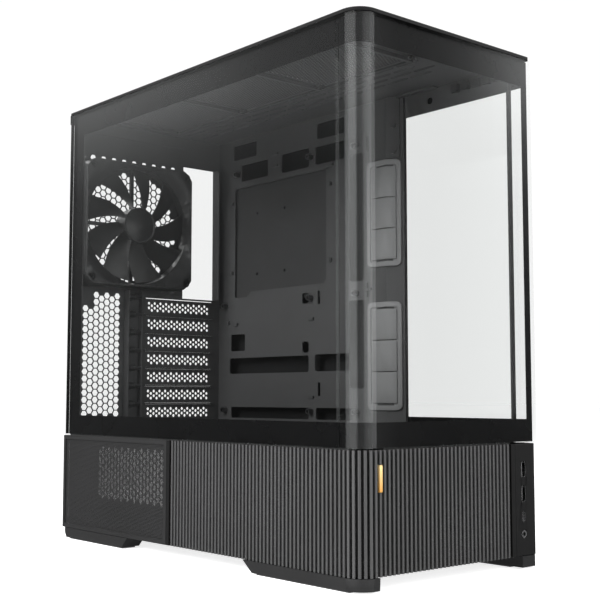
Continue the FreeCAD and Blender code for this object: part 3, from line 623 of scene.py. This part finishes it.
def rib_run(first, count, z0, z1):
    """Ribs standing on the cover's wall; distances on the path shrink a little on the inset turn."""
    inset = RIB_DEPTH / 2
    mesh, length = path_mesh(inset, z0)
    s = FIRST_RIB + RIB_PITCH * first
    shrink = (length - COVER_LENGTH) / TURN

    def on_path(distance):
        return distance + shrink * min(max(distance - FLAT, 0.0), TURN)

    runs = []
    for k in range(count):
        place = on_path(s + RIB_PITCH * k)
        if runs and abs(place - runs[-1][0] - runs[-1][1] * runs[-1][2]) < 0.001:
            runs[-1][2] += 1
        elif runs and runs[-1][2] == 1:
            runs[-1][1:] = [place - runs[-1][0], 2]
        else:
            runs.append([place, RIB_PITCH, 1])
    return [grow(bars, mesh, rib_plastic, First=start * MM, Pitch=pitch * MM, Count=number,
                 Width=RIB_W * MM, Depth=RIB_DEPTH * MM, Round=RIB_ROUND * MM, Height=(z1 - z0) * MM)
            for start, pitch, number in runs]


rib_meshes = rib_run(1, BUTTON_RIB - 1, COVER_Z0, COVER_Z1)
rib_meshes += rib_run(BUTTON_RIB + 1, RIB_COUNT - BUTTON_RIB - 1, COVER_Z0, COVER_Z1)
rib_meshes += rib_run(BUTTON_RIB, 1, COVER_Z0, BUTTON_Z0 - BUTTON_GAP)
rib_meshes += rib_run(BUTTON_RIB, 1, BUTTON_Z1 + BUTTON_GAP, COVER_Z1)
print("runs of ribs:", len(rib_meshes), "ribs:", RIB_COUNT)


# %% The wall behind the ribs, with the button's slot left open
def wall_cell(s0, s1, z0, z1, out, inner):
    """Stretch of wall between two distances along the path."""
    steps = max(2, int((s1 - s0) / 1.5) + 1) if s1 > FLAT - 1 and s0 < FLAT + TURN + 1 else 2
    marks = [s0 + (s1 - s0) * k / (steps - 1) for k in range(steps)]
    rings = []
    for s in marks:
        (ax, ay), (bx, by) = along_corner(s, out), along_corner(s, inner)
        rings.append([(ax, ay, z0), (ax, ay, z1), (bx, by, z1), (bx, by, z0)])
    return shell(rings)


SLOT_HALF, WALL_OUT = 1.95, RIB_DEPTH - 0.1
button_s = COVER_X1 - BUTTON_X
slot = (button_s - SLOT_HALF, button_s + SLOT_HALF)
walls = [wall_cell(0, slot[0], COVER_Z0, COVER_Z1, WALL_OUT, COVER_T),
         wall_cell(slot[1], COVER_LENGTH, COVER_Z0, COVER_Z1, WALL_OUT, COVER_T),
         wall_cell(*slot, COVER_Z0, BUTTON_Z0 - BUTTON_GAP, WALL_OUT, COVER_T),
         wall_cell(*slot, BUTTON_Z1 + BUTTON_GAP, COVER_Z1, WALL_OUT, COVER_T),
         wall_cell(0, FIRST_RIB + RIB_W / 2, COVER_Z0, COVER_Z1, 0.0, RIB_DEPTH),
         wall_cell(FIRST_RIB + RIB_PITCH * RIB_COUNT - RIB_W / 2, COVER_LENGTH, COVER_Z0, COVER_Z1,
                   0.0, RIB_DEPTH)]
ribbed = piece("ribbed_cover_moulding", joined("ribbed_cover", rib_meshes), rib_plastic,
               "chassis", ("ribbed_cover",))
# The wall between the ribs takes the blacker plastic: painted shade in the gaps between the ribs.
piece("ribbed_cover_wall", joined("ribbed_wall", walls), black_plastic_and_painted_rib_shade, "chassis")
print("ribbed cover faces:", len(ribbed.data.polygons))

# %% [markdown]
# ## The curved front glass
# The front pane wraps round the corner in one bend. The frame's own solid shows that bend as facets,
# and a mirror finish would show every one, so the pane and its print are carried along the same path
# in many small steps and shaded smooth.

# %% Front pane and its printed border
GLASS_T, PRINT_T, PRINT_EDGE = 4.0, 0.3, 0.5
SUNK = 0.05
GLASS_Z0, GLASS_Z1 = 111.5, 463.6
CLEAR_Z0, CLEAR_Z1 = 132.0, 439.0
SEAM_Y, RIGHT, BEND_STEPS = -205.3, WIDTH / 2, 40


def bent_sheet(x_end, y_end, z0, z1, outer, inner, chamfer=0.0, x_start=None):
    """Sheet that follows the corner from x_end on the front to y_end on the left side; x_start ends
    it on the front instead."""
    flat = x_end - LEFT - CORNER_R
    total = flat + TURN + y_end - FRONT - CORNER_R
    marks = [0.0, flat] + [flat + TURN * k / BEND_STEPS for k in range(1, BEND_STEPS + 1)] + [total]
    if x_start is not None:
        marks = [0.0, x_end - x_start]
    rings = []
    for s in marks:
        (ax, ay), (bx, by) = along_corner(s, outer, x_end), along_corner(s, inner, x_end)
        c = chamfer / (inner - outer)
        cx, cy = ax + (bx - ax) * c, ay + (by - ay) * c
        rings.append([(ax, ay, z0 + chamfer), (ax, ay, z1 - chamfer), (cx, cy, z1), (bx, by, z1),
                      (bx, by, z0), (cx, cy, z0)] if chamfer else
                     [(ax, ay, z0), (ax, ay, z1), (bx, by, z1), (bx, by, z0)])
    return shell(rings)


piece("front_pane", bent_sheet(RIGHT, SEAM_Y, GLASS_Z0, GLASS_Z1, 0.0, GLASS_T, 0.35), glass,
      "front_glass_panel", ("front_glass",))
prints = [bent_sheet(RIGHT - PRINT_EDGE, SEAM_Y, z0, z1, GLASS_T - SUNK, GLASS_T + PRINT_T)
          for z0, z1 in ((GLASS_Z0 + PRINT_EDGE, CLEAR_Z0), (CLEAR_Z1, GLASS_Z1 - PRINT_EDGE))]
prints.append(bent_sheet(RIGHT - PRINT_EDGE, SEAM_Y, CLEAR_Z0, CLEAR_Z1, GLASS_T - SUNK,
                         GLASS_T + PRINT_T, x_start=RIGHT - 8.5))
piece("front_print", joined("front_print", prints), enamel, "front_glass_panel",
      ("front_glass_border",))
print("front pane done")

# %% [markdown]
# ## The rear fan
# A 140 mm fan: a square frame whose mouth flares almost to its edges, four corner ears, and nine
# blades that sweep forwards as they leave the hub. The frame's mouth and outside are both
# radii that depend on the angle, so one shell makes them; a ring recipe repeats the blade.

# %% Frame of the fan
FAN_X, FAN_Z, FAN_Y0, FAN_Y1 = -34.5, 345.5, 201.5, 226.5
FAN_HALF, DUCT_R, MOUTH_R, EAR, FAN_STEPS = 70.0, 66.5, 81.0, 62.25, 144


def square_radius(half, angle, round_to):
    """Distance to a square's edge at an angle, no farther than round_to."""
    return min(round_to, half / max(abs(math.cos(angle)), abs(math.sin(angle))))


def fan_ring(y, half, round_to):
    """Rounded square about the fan's axis, as a ring of points."""
    points = []
    for k in range(FAN_STEPS):
        a = 2 * math.pi * k / FAN_STEPS
        r = square_radius(half, a, round_to)
        points.append((FAN_X + r * math.cos(a), y, FAN_Z + r * math.sin(a)))
    return points


frame_rings = [fan_ring(FAN_Y0 + 0.6, FAN_HALF, 92.0), fan_ring(FAN_Y1 - 0.4, FAN_HALF, 92.0),
               fan_ring(FAN_Y1, FAN_HALF - 0.4, 91.5), fan_ring(FAN_Y1, 68.6, 74.0),
               fan_ring(FAN_Y1 - 5.0, DUCT_R, DUCT_R), fan_ring(FAN_Y0 + 7.0, DUCT_R, DUCT_R),
               fan_ring(FAN_Y0 + 3.0, 67.6, 73.0), fan_ring(FAN_Y0, 68.4, MOUTH_R),
               fan_ring(FAN_Y0, FAN_HALF - 0.6, 91.0)]
fan_body = bpy.data.objects.new("fan_body", shell(frame_rings, closed_path=True))
bpy.context.scene.collection.objects.link(fan_body)
drill_shape = turned([(2.3, -1), (2.3, 27)], (FAN_X - EAR, FAN_Y0, FAN_Z - EAR), "y", 24)
drills = grow(grid, drill_shape, fan_black, Columns=2, Rows=2, Column_Step=(2 * EAR * MM, 0, 0),
              Row_Step=(0, 0, 2 * EAR * MM), Shift=(0, 0, 0))
drill = bpy.data.objects.new("drill", drills)
bpy.context.scene.collection.objects.link(drill)
cut = fan_body.modifiers.new("holes", "BOOLEAN")
cut.object, cut.operation, cut.solver = drill, "DIFFERENCE", "EXACT"
ready = bpy.context.evaluated_depsgraph_get()
drilled = bpy.data.meshes.new_from_object(fan_body.evaluated_get(ready), depsgraph=ready)
bpy.data.objects.remove(fan_body)
bpy.data.objects.remove(drill)
print("fan body faces:", len(drilled.polygons))

# %% Ears' rims, motor and struts
ear_rim = shell([[(FAN_X - EAR + r * math.cos(2 * math.pi * k / 24), FAN_Y0 + y,
                   FAN_Z - EAR + r * math.sin(2 * math.pi * k / 24)) for k in range(24)]
                 for r, y in ((2.5, 0.2), (2.5, 0.0), (4.6, 0.0), (4.6, 0.2))], closed_path=True)
rims = grow(grid, ear_rim, fan_black, Columns=2, Rows=2, Column_Step=(2 * EAR * MM, 0, 0),
            Row_Step=(0, 0, 2 * EAR * MM), Shift=(0, 0, 0))
motor = turned([(17.0, 0.0), (19.0, 1.5), (19.0, 4.9)], (FAN_X, FAN_Y1 - 5.0, FAN_Z), "y")
strut = block(18, 68, -5.0, -1.5, -2, 2)
struts = grow(ring, strut, fan_black, Count=4, Centre=(FAN_X * MM, FAN_Y1 * MM, FAN_Z * MM))
piece("fan_housing", joined("fan_housing", [drilled, rims, motor, struts]), fan_black, "chassis",
      ("fan_frame",))
print("fan housing done")


# %% Blades and hub
BLADES, TIP_R, HUB_R, HUB_Y0, HUB_Y1 = 9, 64.5, 20.5, 203.5, 220.5
SWEEP, ROOT_CHORD, TIP_CHORD = 20.0, 31.0, 27.0
ROOT_RISE, TIP_RISE = 13.0, 9.5


def blade():
    """One blade round the hub's own centre: chord along the turn, leading edge to the front."""
    rings = []
    for j in range(9):
        t = j / 8
        r = HUB_R - 1.0 + (TIP_R - HUB_R + 1.0) * t
        lead = math.radians(SWEEP * t ** 0.9)
        chord = math.radians(ROOT_CHORD + (TIP_CHORD - ROOT_CHORD) * t)
        rise = ROOT_RISE + (TIP_RISE - ROOT_RISE) * t
        ring_front, ring_back = [], []
        for k in range(11):
            u = k / 10
            a = lead - chord * u
            y = -rise / 2 + rise * u ** 0.72
            thick = 0.55 + 0.5 * math.sin(math.pi * min(1.0, u + 0.05))
            for ring_points, side in ((ring_front, -0.5), (ring_back, 0.5)):
                ring_points.append((r * math.cos(a), y + side * thick, r * math.sin(a)))
        rings.append(ring_front + ring_back[::-1])
    return shell(rings)


middle = (HUB_Y0 + HUB_Y1) / 2
blades = grow(ring, blade(), fan_black, Count=BLADES, Centre=(FAN_X * MM, middle * MM, FAN_Z * MM))
hub = turned([(1.5, 0.5), (16.6, 0.5), (17.3, 0.9), (18.4, 0.9), (18.9, 0.1), (19.8, 0.0), (20.5, 0.7),
              (20.5, 17.0), (19.0, 17.0), (1.5, 17.0), (1.5, 22.0), (0.9, 22.0)],
             (FAN_X, HUB_Y0, FAN_Z), "y", 72)
rotor = piece("fan_blades_and_hub", joined("rotor", [blades, hub]), fan_black, "rotor",
              ("fan_rotor",))
print("rotor faces:", len(rotor.data.polygons))

# %% [markdown]
# ## Printed borders of the flat panes
# The enamel is fired into the inside face of the glass, so there is no second mirror between glass
# and print. Each print here starts a hair inside its pane, which hides the pane's back face.

# %% Borders of the left pane and the right window
def print_frame(x0, x1, y0, y1, z0, z1, open_y0, open_y1):
    """Four strips round a clear window in a pane that faces sideways."""
    return joined("print_frame", [
        block(x0, x1, y0, y1, z0, CLEAR_Z0), block(x0, x1, y0, y1, CLEAR_Z1, z1),
        block(x0, x1, y0, open_y0, CLEAR_Z0, CLEAR_Z1), block(x0, x1, open_y1, y1, CLEAR_Z0, CLEAR_Z1)])


GLASS_REAR, BORDER_REAR, JOINT_Y = 229.0, 207.5, -72.0
left_y0, right_y0 = SEAM_Y + 0.8, FRONT + GLASS_T + PRINT_T + 0.4
low_z, high_z = GLASS_Z0 + PRINT_EDGE, GLASS_Z1 - PRINT_EDGE
left_frame = print_frame(LEFT + GLASS_T - SUNK, LEFT + GLASS_T + PRINT_T, left_y0,
                         GLASS_REAR - PRINT_EDGE, low_z, high_z, left_y0 + 0.3, BORDER_REAR)
rear_edge = block(LEFT + 0.2, LEFT + GLASS_T, GLASS_REAR + 0.02, GLASS_REAR + 0.3, low_z, high_z)
piece("left_print", joined("left_print", [left_frame, rear_edge]), enamel, "left_side_glass",
      ("left_glass_border",))
right_frame = print_frame(RIGHT - GLASS_T - PRINT_T, RIGHT - GLASS_T + SUNK, right_y0, JOINT_Y,
                          low_z, high_z, right_y0 + 0.4, JOINT_Y - 6.0)
piece("right_print", right_frame, enamel, "right_side", ("right_window_border",))
print("borders printed")

# %% [markdown]
# ## Woven dust meshes
# The side panel and both filters hold a fine black mesh. Seen from a step away it is a dark veil
# through which the vents behind still show, so the threads must be real gaps and lines. One thread
# each way, repeated by the grid recipe, is enough: the crossing threads sit one behind the other.


# %% Mesh screens
def screen(name, node, body, axis, pitch, width):
    """Two layers of threads that fill a node's box, at right angles to an axis."""
    low, high = [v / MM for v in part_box(node)]
    u, v = [k for k in range(3) if k != axis]
    middle = (low[axis] + high[axis]) / 2
    layers = []
    for long, across, side in ((u, v, -1), (v, u, 1)):
        a, b = [0.0] * 3, [0.0] * 3
        a[long], b[long] = low[long], high[long]
        a[axis], b[axis] = sorted((middle, middle + side * width * 0.5))
        a[across], b[across] = low[across], low[across] + width
        step = [0.0] * 3
        step[across] = pitch * MM
        count = int((high[across] - low[across] - width) / pitch) + 1
        shape = block(a[0], b[0], a[1], b[1], a[2], b[2])
        layers.append(grow(grid, shape, thread, Columns=1, Rows=count, Column_Step=(0, 0, 0),
                           Row_Step=tuple(step), Shift=(0, 0, 0)))
    made = piece(name, joined(name, layers), thread, body, (node,))
    print(name, "faces:", len(made.data.polygons))


screen("side_mesh", "mesh_panel_screen", "mesh_side_panel", 0, 1.3, 0.66)
screen("top_mesh", "top_filter_mesh", "top_filter", 2, 1.6, 0.5)
screen("bottom_mesh", "psu_filter_mesh", "bottom_filter", 2, 1.6, 0.5)

# %% [markdown]
# ## The roof
# Three fields of fine holes take the roof fans. Each hole is one cell of a honeycomb, so the field is
# a single cell repeated on a shifted grid. Between the fields the sheet is folded down into lips,
# and beside them run rows of short slots with pressed rims.


# %% Perforated fields
def cell(pitch, hole, thickness, z):
    """One honeycomb cell of a sheet with a hole through it."""
    outer = [(pitch / math.sqrt(3) * math.cos(math.radians(60 * k)),
              pitch / math.sqrt(3) * math.sin(math.radians(60 * k))) for k in range(6)]
    inner = [(x * hole, y * hole) for x, y in outer]
    return shell([[(x, y, z) for x, y in outer], [(x, y, z + thickness) for x, y in outer],
                  [(x, y, z + thickness) for x, y in inner], [(x, y, z) for x, y in inner]],
                 closed_path=True)


ROOF_Z, ROOF_SHEET = 461.5, 1.0
FIELD_X0, FIELD_X1, FIELD_STARTS, FIELD_LONG = -100.0, 17.0, (-167.0, -42.0, 83.0), 119.0
HOLE_PITCH, HOLE_SHARE = 3.6, 0.72
RIM, LIP_DROP = 3.0, 3.5
column_step = HOLE_PITCH * math.sqrt(3) / 2
columns = int((FIELD_X1 - FIELD_X0 - 2 * RIM) / column_step) + 1
rows = int((FIELD_LONG - 2 * RIM) / HOLE_PITCH)
for k, y0 in enumerate(FIELD_STARTS):
    one = cell(HOLE_PITCH, HOLE_SHARE, ROOF_SHEET - 0.1, ROOF_Z + 0.05)
    for vert in one.vertices:
        vert.co += Vector((FIELD_X0 + RIM + 1.0, y0 + RIM, 0)) * MM
    holes = grow(grid, one, steel, Columns=columns, Rows=rows, Column_Step=(column_step * MM, 0, 0),
                 Row_Step=(0, HOLE_PITCH * MM, 0), Shift=(0, HOLE_PITCH / 2 * MM, 0))
    x0, x1, y1, z0, z1 = FIELD_X0, FIELD_X1, y0 + FIELD_LONG, ROOF_Z, ROOF_Z + ROOF_SHEET
    rim = [block(x0, x1, y0, y0 + RIM, z0, z1), block(x0, x1, y1 - RIM, y1, z0, z1),
           block(x0, x0 + RIM, y0 + RIM, y1 - RIM, z0, z1),
           block(x1 - RIM, x1, y0 + RIM, y1 - RIM, z0, z1)]
    lips = [block(x0 + 1, x1, y0 - 5.5, y0 - 1.5, z0 - LIP_DROP, z0, 0.6)]
    if k == len(FIELD_STARTS) - 1:
        lips.append(block(x0 + 1, x1, y1 + 1.5, y1 + 5.5, z0 - LIP_DROP, z0, 0.6))
    lips.append(block(x1 + 0.5, x1 + 2.0, y0, y1, z0 - 1.6, z0, 0.3))
    posts = [turned([(1.9, 0.0), (1.9, -3.2), (1.2, -3.8)], (x, y0 - 10.0, z0), "z", 16)
             for x in (x1 - 9, x1 - 3)]
    made = piece("roof_field_%d" % (k + 1), joined("roof_field", [holes] + rim + lips + posts), steel,
                 "chassis", ("roof_grilles",) if k == 0 else ())
print("faces in one roof field:", len(made.data.polygons))

# %% Rows of slots in the roof
SLOT_LONG, SLOT_WIDE, SLOT_STEP, SLOT_RIM = 27.0, 3.4, 31.0, 0.6
SLOT_ROWS, SLOTS_IN_ROW, ROW_GAP = 4, 12, 11.8


def oblong(long, wide, z):
    """Outline of a slot along Y with round ends."""
    r, half = wide / 2, long / 2 - wide / 2
    points = []
    for a in (0, 30, 60, 90, 120, 150, 179.9, 180, 210, 240, 270, 300, 330, 359.9):
        turn = math.radians(a)
        points.append((r * math.cos(turn), (half if a < 180 else -half) + r * math.sin(turn), z))
    return points


slot_rim = shell([oblong(SLOT_LONG, SLOT_WIDE, 0), oblong(SLOT_LONG, SLOT_WIDE, -0.5),
                  oblong(SLOT_LONG - 2 * SLOT_RIM, SLOT_WIDE - 2 * SLOT_RIM, -0.5),
                  oblong(SLOT_LONG - 2 * SLOT_RIM, SLOT_WIDE - 2 * SLOT_RIM, 0)], closed_path=True)
for vert in slot_rim.vertices:
    vert.co += Vector((24.0, -158.0, ROOF_Z)) * MM
slot_rims = grow(grid, slot_rim, steel, Columns=SLOT_ROWS, Rows=SLOTS_IN_ROW,
                 Column_Step=(ROW_GAP * MM, 0, 0), Row_Step=(0, SLOT_STEP * MM, 0),
                 Shift=(0, SLOT_STEP / 2 * MM, 0))
piece("roof_slot_rims", slot_rims, steel, "chassis")
print("roof slots:", SLOT_ROWS * SLOTS_IN_ROW)

# %% [markdown]
# ## Screws with knurled heads
# The slot covers and the side panel are held by screws that fingers can turn. A plain cylinder with
# a ring of fine teeth reads as a knurl, and both are one tooth repeated by the ring recipe.


# %% Knurled head
def knurled(radius, depth, teeth, shank):
    """Thumbscrew along Y with its head's outer face at y = 0 and its shank behind."""
    half = radius * 2.0 / teeth
    tooth = block(radius - 0.5, radius, 0.5, depth - 0.5, -half, half, 0.1)
    ring_of_teeth = grow(ring, tooth, black_zinc, Count=teeth, Centre=(0, 0, 0))
    core = turned([(radius * 0.45, 0.9), (radius * 0.5, 0.0), (radius * 0.86, 0.0),
                   (radius - 0.35, 0.5), (radius - 0.35, depth - 0.4), (radius * 0.8, depth),
                   (radius * 0.45, depth), (radius * 0.45, depth + shank)], (0, 0, 0), "y", 32)
    return joined("knurled", [ring_of_teeth, core])


def moved(mesh, x, y, z, turn="y"):
    """The mesh at a place, with its Y axis along +Y or, for "x", along +X; "-y" faces the rear."""
    for vert in mesh.vertices:
        a, b, c = vert.co
        vert.co = {"y": Vector((a, b, c)), "x": Vector((b, -a, c)), "-y": Vector((-a, -b, c))}[turn]
        vert.co += Vector((x, y, z)) * MM
    return mesh


SLOT_PITCH, SLOT_TOP_Z, SCREW_Y = 20.32, 255.9, 220.9
SLOT_SCREWS, PANEL_SCREWS, PANEL_STEP = 7, 3, 190.0
head = moved(knurled(4.0, 7.0, 20, 9.5), -37.5, SCREW_Y, SLOT_TOP_Z + SLOT_PITCH / 2, "x")
heads = grow(grid, head, black_zinc, Columns=1, Rows=SLOT_SCREWS, Column_Step=(0, 0, 0),
             Row_Step=(0, 0, -SLOT_PITCH * MM), Shift=(0, 0, 0))
piece("slot_knurled_screws", heads, black_zinc, "chassis", ("slot_thumbscrews",))
head = moved(knurled(4.5, 3.5, 22, 4.5), 104.0, 232.5, 60.0, "-y")
heads = grow(grid, head, black_zinc, Columns=1, Rows=PANEL_SCREWS, Column_Step=(0, 0, 0),
             Row_Step=(0, 0, PANEL_STEP * MM), Shift=(0, 0, 0))
piece("panel_knurled_screws", heads, black_zinc, "right_side", ("panel_thumbscrews",))
print("knurled screws:", SLOT_SCREWS + PANEL_SCREWS)

# %% [markdown]
# ## Rubber covers on the tray's fold
# Two soft covers close the cable openings along the fold. Each has a raised rounded rim and three
# pads, and bends with the steel. The fold is two flat faces, so every outline is given as a distance
# along the sheet and a height off it, and the bend is taken care of in one place.

# %% The fold as a surface
TRAY_X, FOLD_Y = 94.5, -59.6
BEND = math.radians(60)
FOLD_X, FOLD_DY = math.cos(BEND), -math.sin(BEND)
ON_LINE = -0.001


def on_fold(along, out, z):
    """Point along the sheet from the fold line (negative on the flat part), raised by out. A point
    on the line itself slips a little, so that it stays on the crease at any height."""
    if along < 0:
        slip = math.tan(BEND / 4) * out if along > 10 * ON_LINE else 0.0
        return TRAY_X - out, FOLD_Y - along - slip, z
    return (TRAY_X + FOLD_X * along + FOLD_DY * out, FOLD_Y + FOLD_DY * along - FOLD_X * out, z)


def rounded(a0, a1, z0, z1, r, steps=5):
    """Rounded rectangle of (along, z) pairs with extra points where it crosses the fold."""
    points = []
    for (ca, cz), start in (((a1 - r, z0 + r), -90), ((a1 - r, z1 - r), 0), ((a0 + r, z1 - r), 90),
                            ((a0 + r, z0 + r), 180)):
        points += [(ca + r * math.cos(math.radians(start + 90 * k / steps)),
                    cz + r * math.sin(math.radians(start + 90 * k / steps))) for k in range(steps + 1)]
        if start == 0:
            points.append((0.0, z1))
        if start == 180:
            points.append((0.0, z0))
    return points


def fold_ring(a0, a1, z0, z1, r, out):
    """Rounded rectangle laid on the fold at one height off the sheet."""
    return [on_fold(a if abs(a) > 1e-6 else ON_LINE, out, z) for a, z in rounded(a0, a1, z0, z1, r)]


def fold_rings(a0, a1, z0, z1, r, base, top, edge):
    """Rings of a pad on the fold, from base to top, with its upper edge rounded off."""
    steps = ((0.0, base), (0.0, top - edge), (edge * 0.3, top - edge * 0.3), (edge, top))
    return [fold_ring(a0 + inset, a1 - inset, z0 + inset, z1 - inset, max(r - inset, 0.3), out)
            for inset, out in steps]


def fold_pad(rings):
    """Closed pad whose bent faces are cut into triangles, so that each is flat."""
    mesh = shell(rings)
    work = bmesh.new()
    work.from_mesh(mesh)
    bmesh.ops.triangulate(work, faces=[f for f in work.faces if len(f.verts) > 4])
    work.to_mesh(mesh)
    work.free()
    return mesh


print("fold at", TRAY_X, FOLD_Y)

# %% Two covers with three pads each
COVER_A0, COVER_A1, COVER_LONG = -26.0, 16.5, 111.0
WELL_A0, WELL_A1, WELL_EDGE, WELL_R = -21.0, 12.6, 5.0, 3.0
PADS, PAD_EDGE, PAD_GAP = 3, 7.0, 0.4
for name, z0 in (("upper", 285.5), ("lower", 138.0)):
    z1 = z0 + COVER_LONG
    well = [fold_ring(WELL_A0, WELL_A1, z0 + WELL_EDGE, z1 - WELL_EDGE, WELL_R, out)
            for out in (2.4, 1.1)]
    rim = shell(fold_rings(COVER_A0, COVER_A1, z0, z1, 6.0, 0.0, 2.4, 0.9) + well)
    pads = []
    pad_long = (z1 - z0 - 2 * PAD_EDGE) / PADS
    for k in range(PADS):
        low = z0 + PAD_EDGE + pad_long * k
        pads.append(fold_pad(fold_rings(-19.4, 11.2, low + PAD_GAP, low + pad_long - PAD_GAP, 1.2,
                                        0.9, 2.1, 0.5)))
    piece("cable_cover_%s_moulding" % name, joined("cover", [rim] + pads), rubber, "chassis",
          ("cable_cover_" + name,))
print("cable covers done")

# %% [markdown]
# ## Small steelwork inside
# Ties on the tray, clips along the right-hand rail and round-headed screws catch light, and tell the
# eye how large the sheet is.


# %% Round-headed screws and clips
def dome(radius, height, place, turn):
    """Round screw head along Y, with a dimple where its recess is."""
    profile = [(radius * 0.25, 0.35 * height), (radius * 0.34, 0.05 * height),
               (radius * 0.7, 0.12 * height), (radius * 0.92, 0.45 * height), (radius, height)]
    return moved(turned(profile, (0, 0, 0), "y", 24), *place, turn)


HEAD_R, HEAD_H = 2.6, 1.4
TRAY_SCREWS = ((25.0, 300.0), (25.0, 384.0), (200.5, 300.0), (200.5, 384.0), (206.0, 240.0))
tray_screws = [dome(HEAD_R, HEAD_H, (TRAY_X - HEAD_H, y, z), "x") for y, z in TRAY_SCREWS]
piece("tray_screw_heads", joined("heads", tray_screws), black_zinc, "chassis")

TIE_X, TIE_LONG, TIE_TALL = 93.2, 9.0, 3.0
bridge = joined("tie", [block(TIE_X, TIE_X + 0.7, 0.0, TIE_LONG, 0, TIE_TALL, 0.2),
                        block(TIE_X, TRAY_X, 0.0, 1.0, 0, TIE_TALL),
                        block(TIE_X, TRAY_X, TIE_LONG - 1.0, TIE_LONG, 0, TIE_TALL)])
ties = [moved(bridge.copy(), 0.0, y, z) for y, z in
        ((114.0, 417.0), (114.0, 431.0), (52.0, 236.0), (188.0, 236.0), (52.0, 150.0), (-38.0, 262.0),
         (-38.0, 142.0), (20.0, 402.8))]
piece("cable_ties_on_tray", joined("ties", ties), steel, "chassis")

CLIPS, CLIP_Y0, CLIP_STEP, CLIP_LONG = 5, -205.0, 13.0, 8.0
clip = joined("clip", [block(101.6, 104.2, 0.0, 1.2, 450.0, 458.0, 0.2),
                       block(99.6, 101.8, 0.0, CLIP_LONG, 450.0, 451.4),
                       block(99.6, 101.8, 0.0, CLIP_LONG, 456.4, 457.8),
                       block(99.6, 100.6, 0.0, CLIP_LONG, 451.0, 457.0)])
clips = grow(grid, moved(clip, 0.0, CLIP_Y0, 0.0), plastic, Columns=1, Rows=CLIPS,
             Column_Step=(0, 0, 0), Row_Step=(0, CLIP_STEP * MM, 0), Shift=(0, 0, 0))
piece("rail_cable_clips", clips, plastic, "chassis")
print("screws, ties and clips:", len(tray_screws), len(ties), CLIPS)

# %% Finish
print("the scene is built")
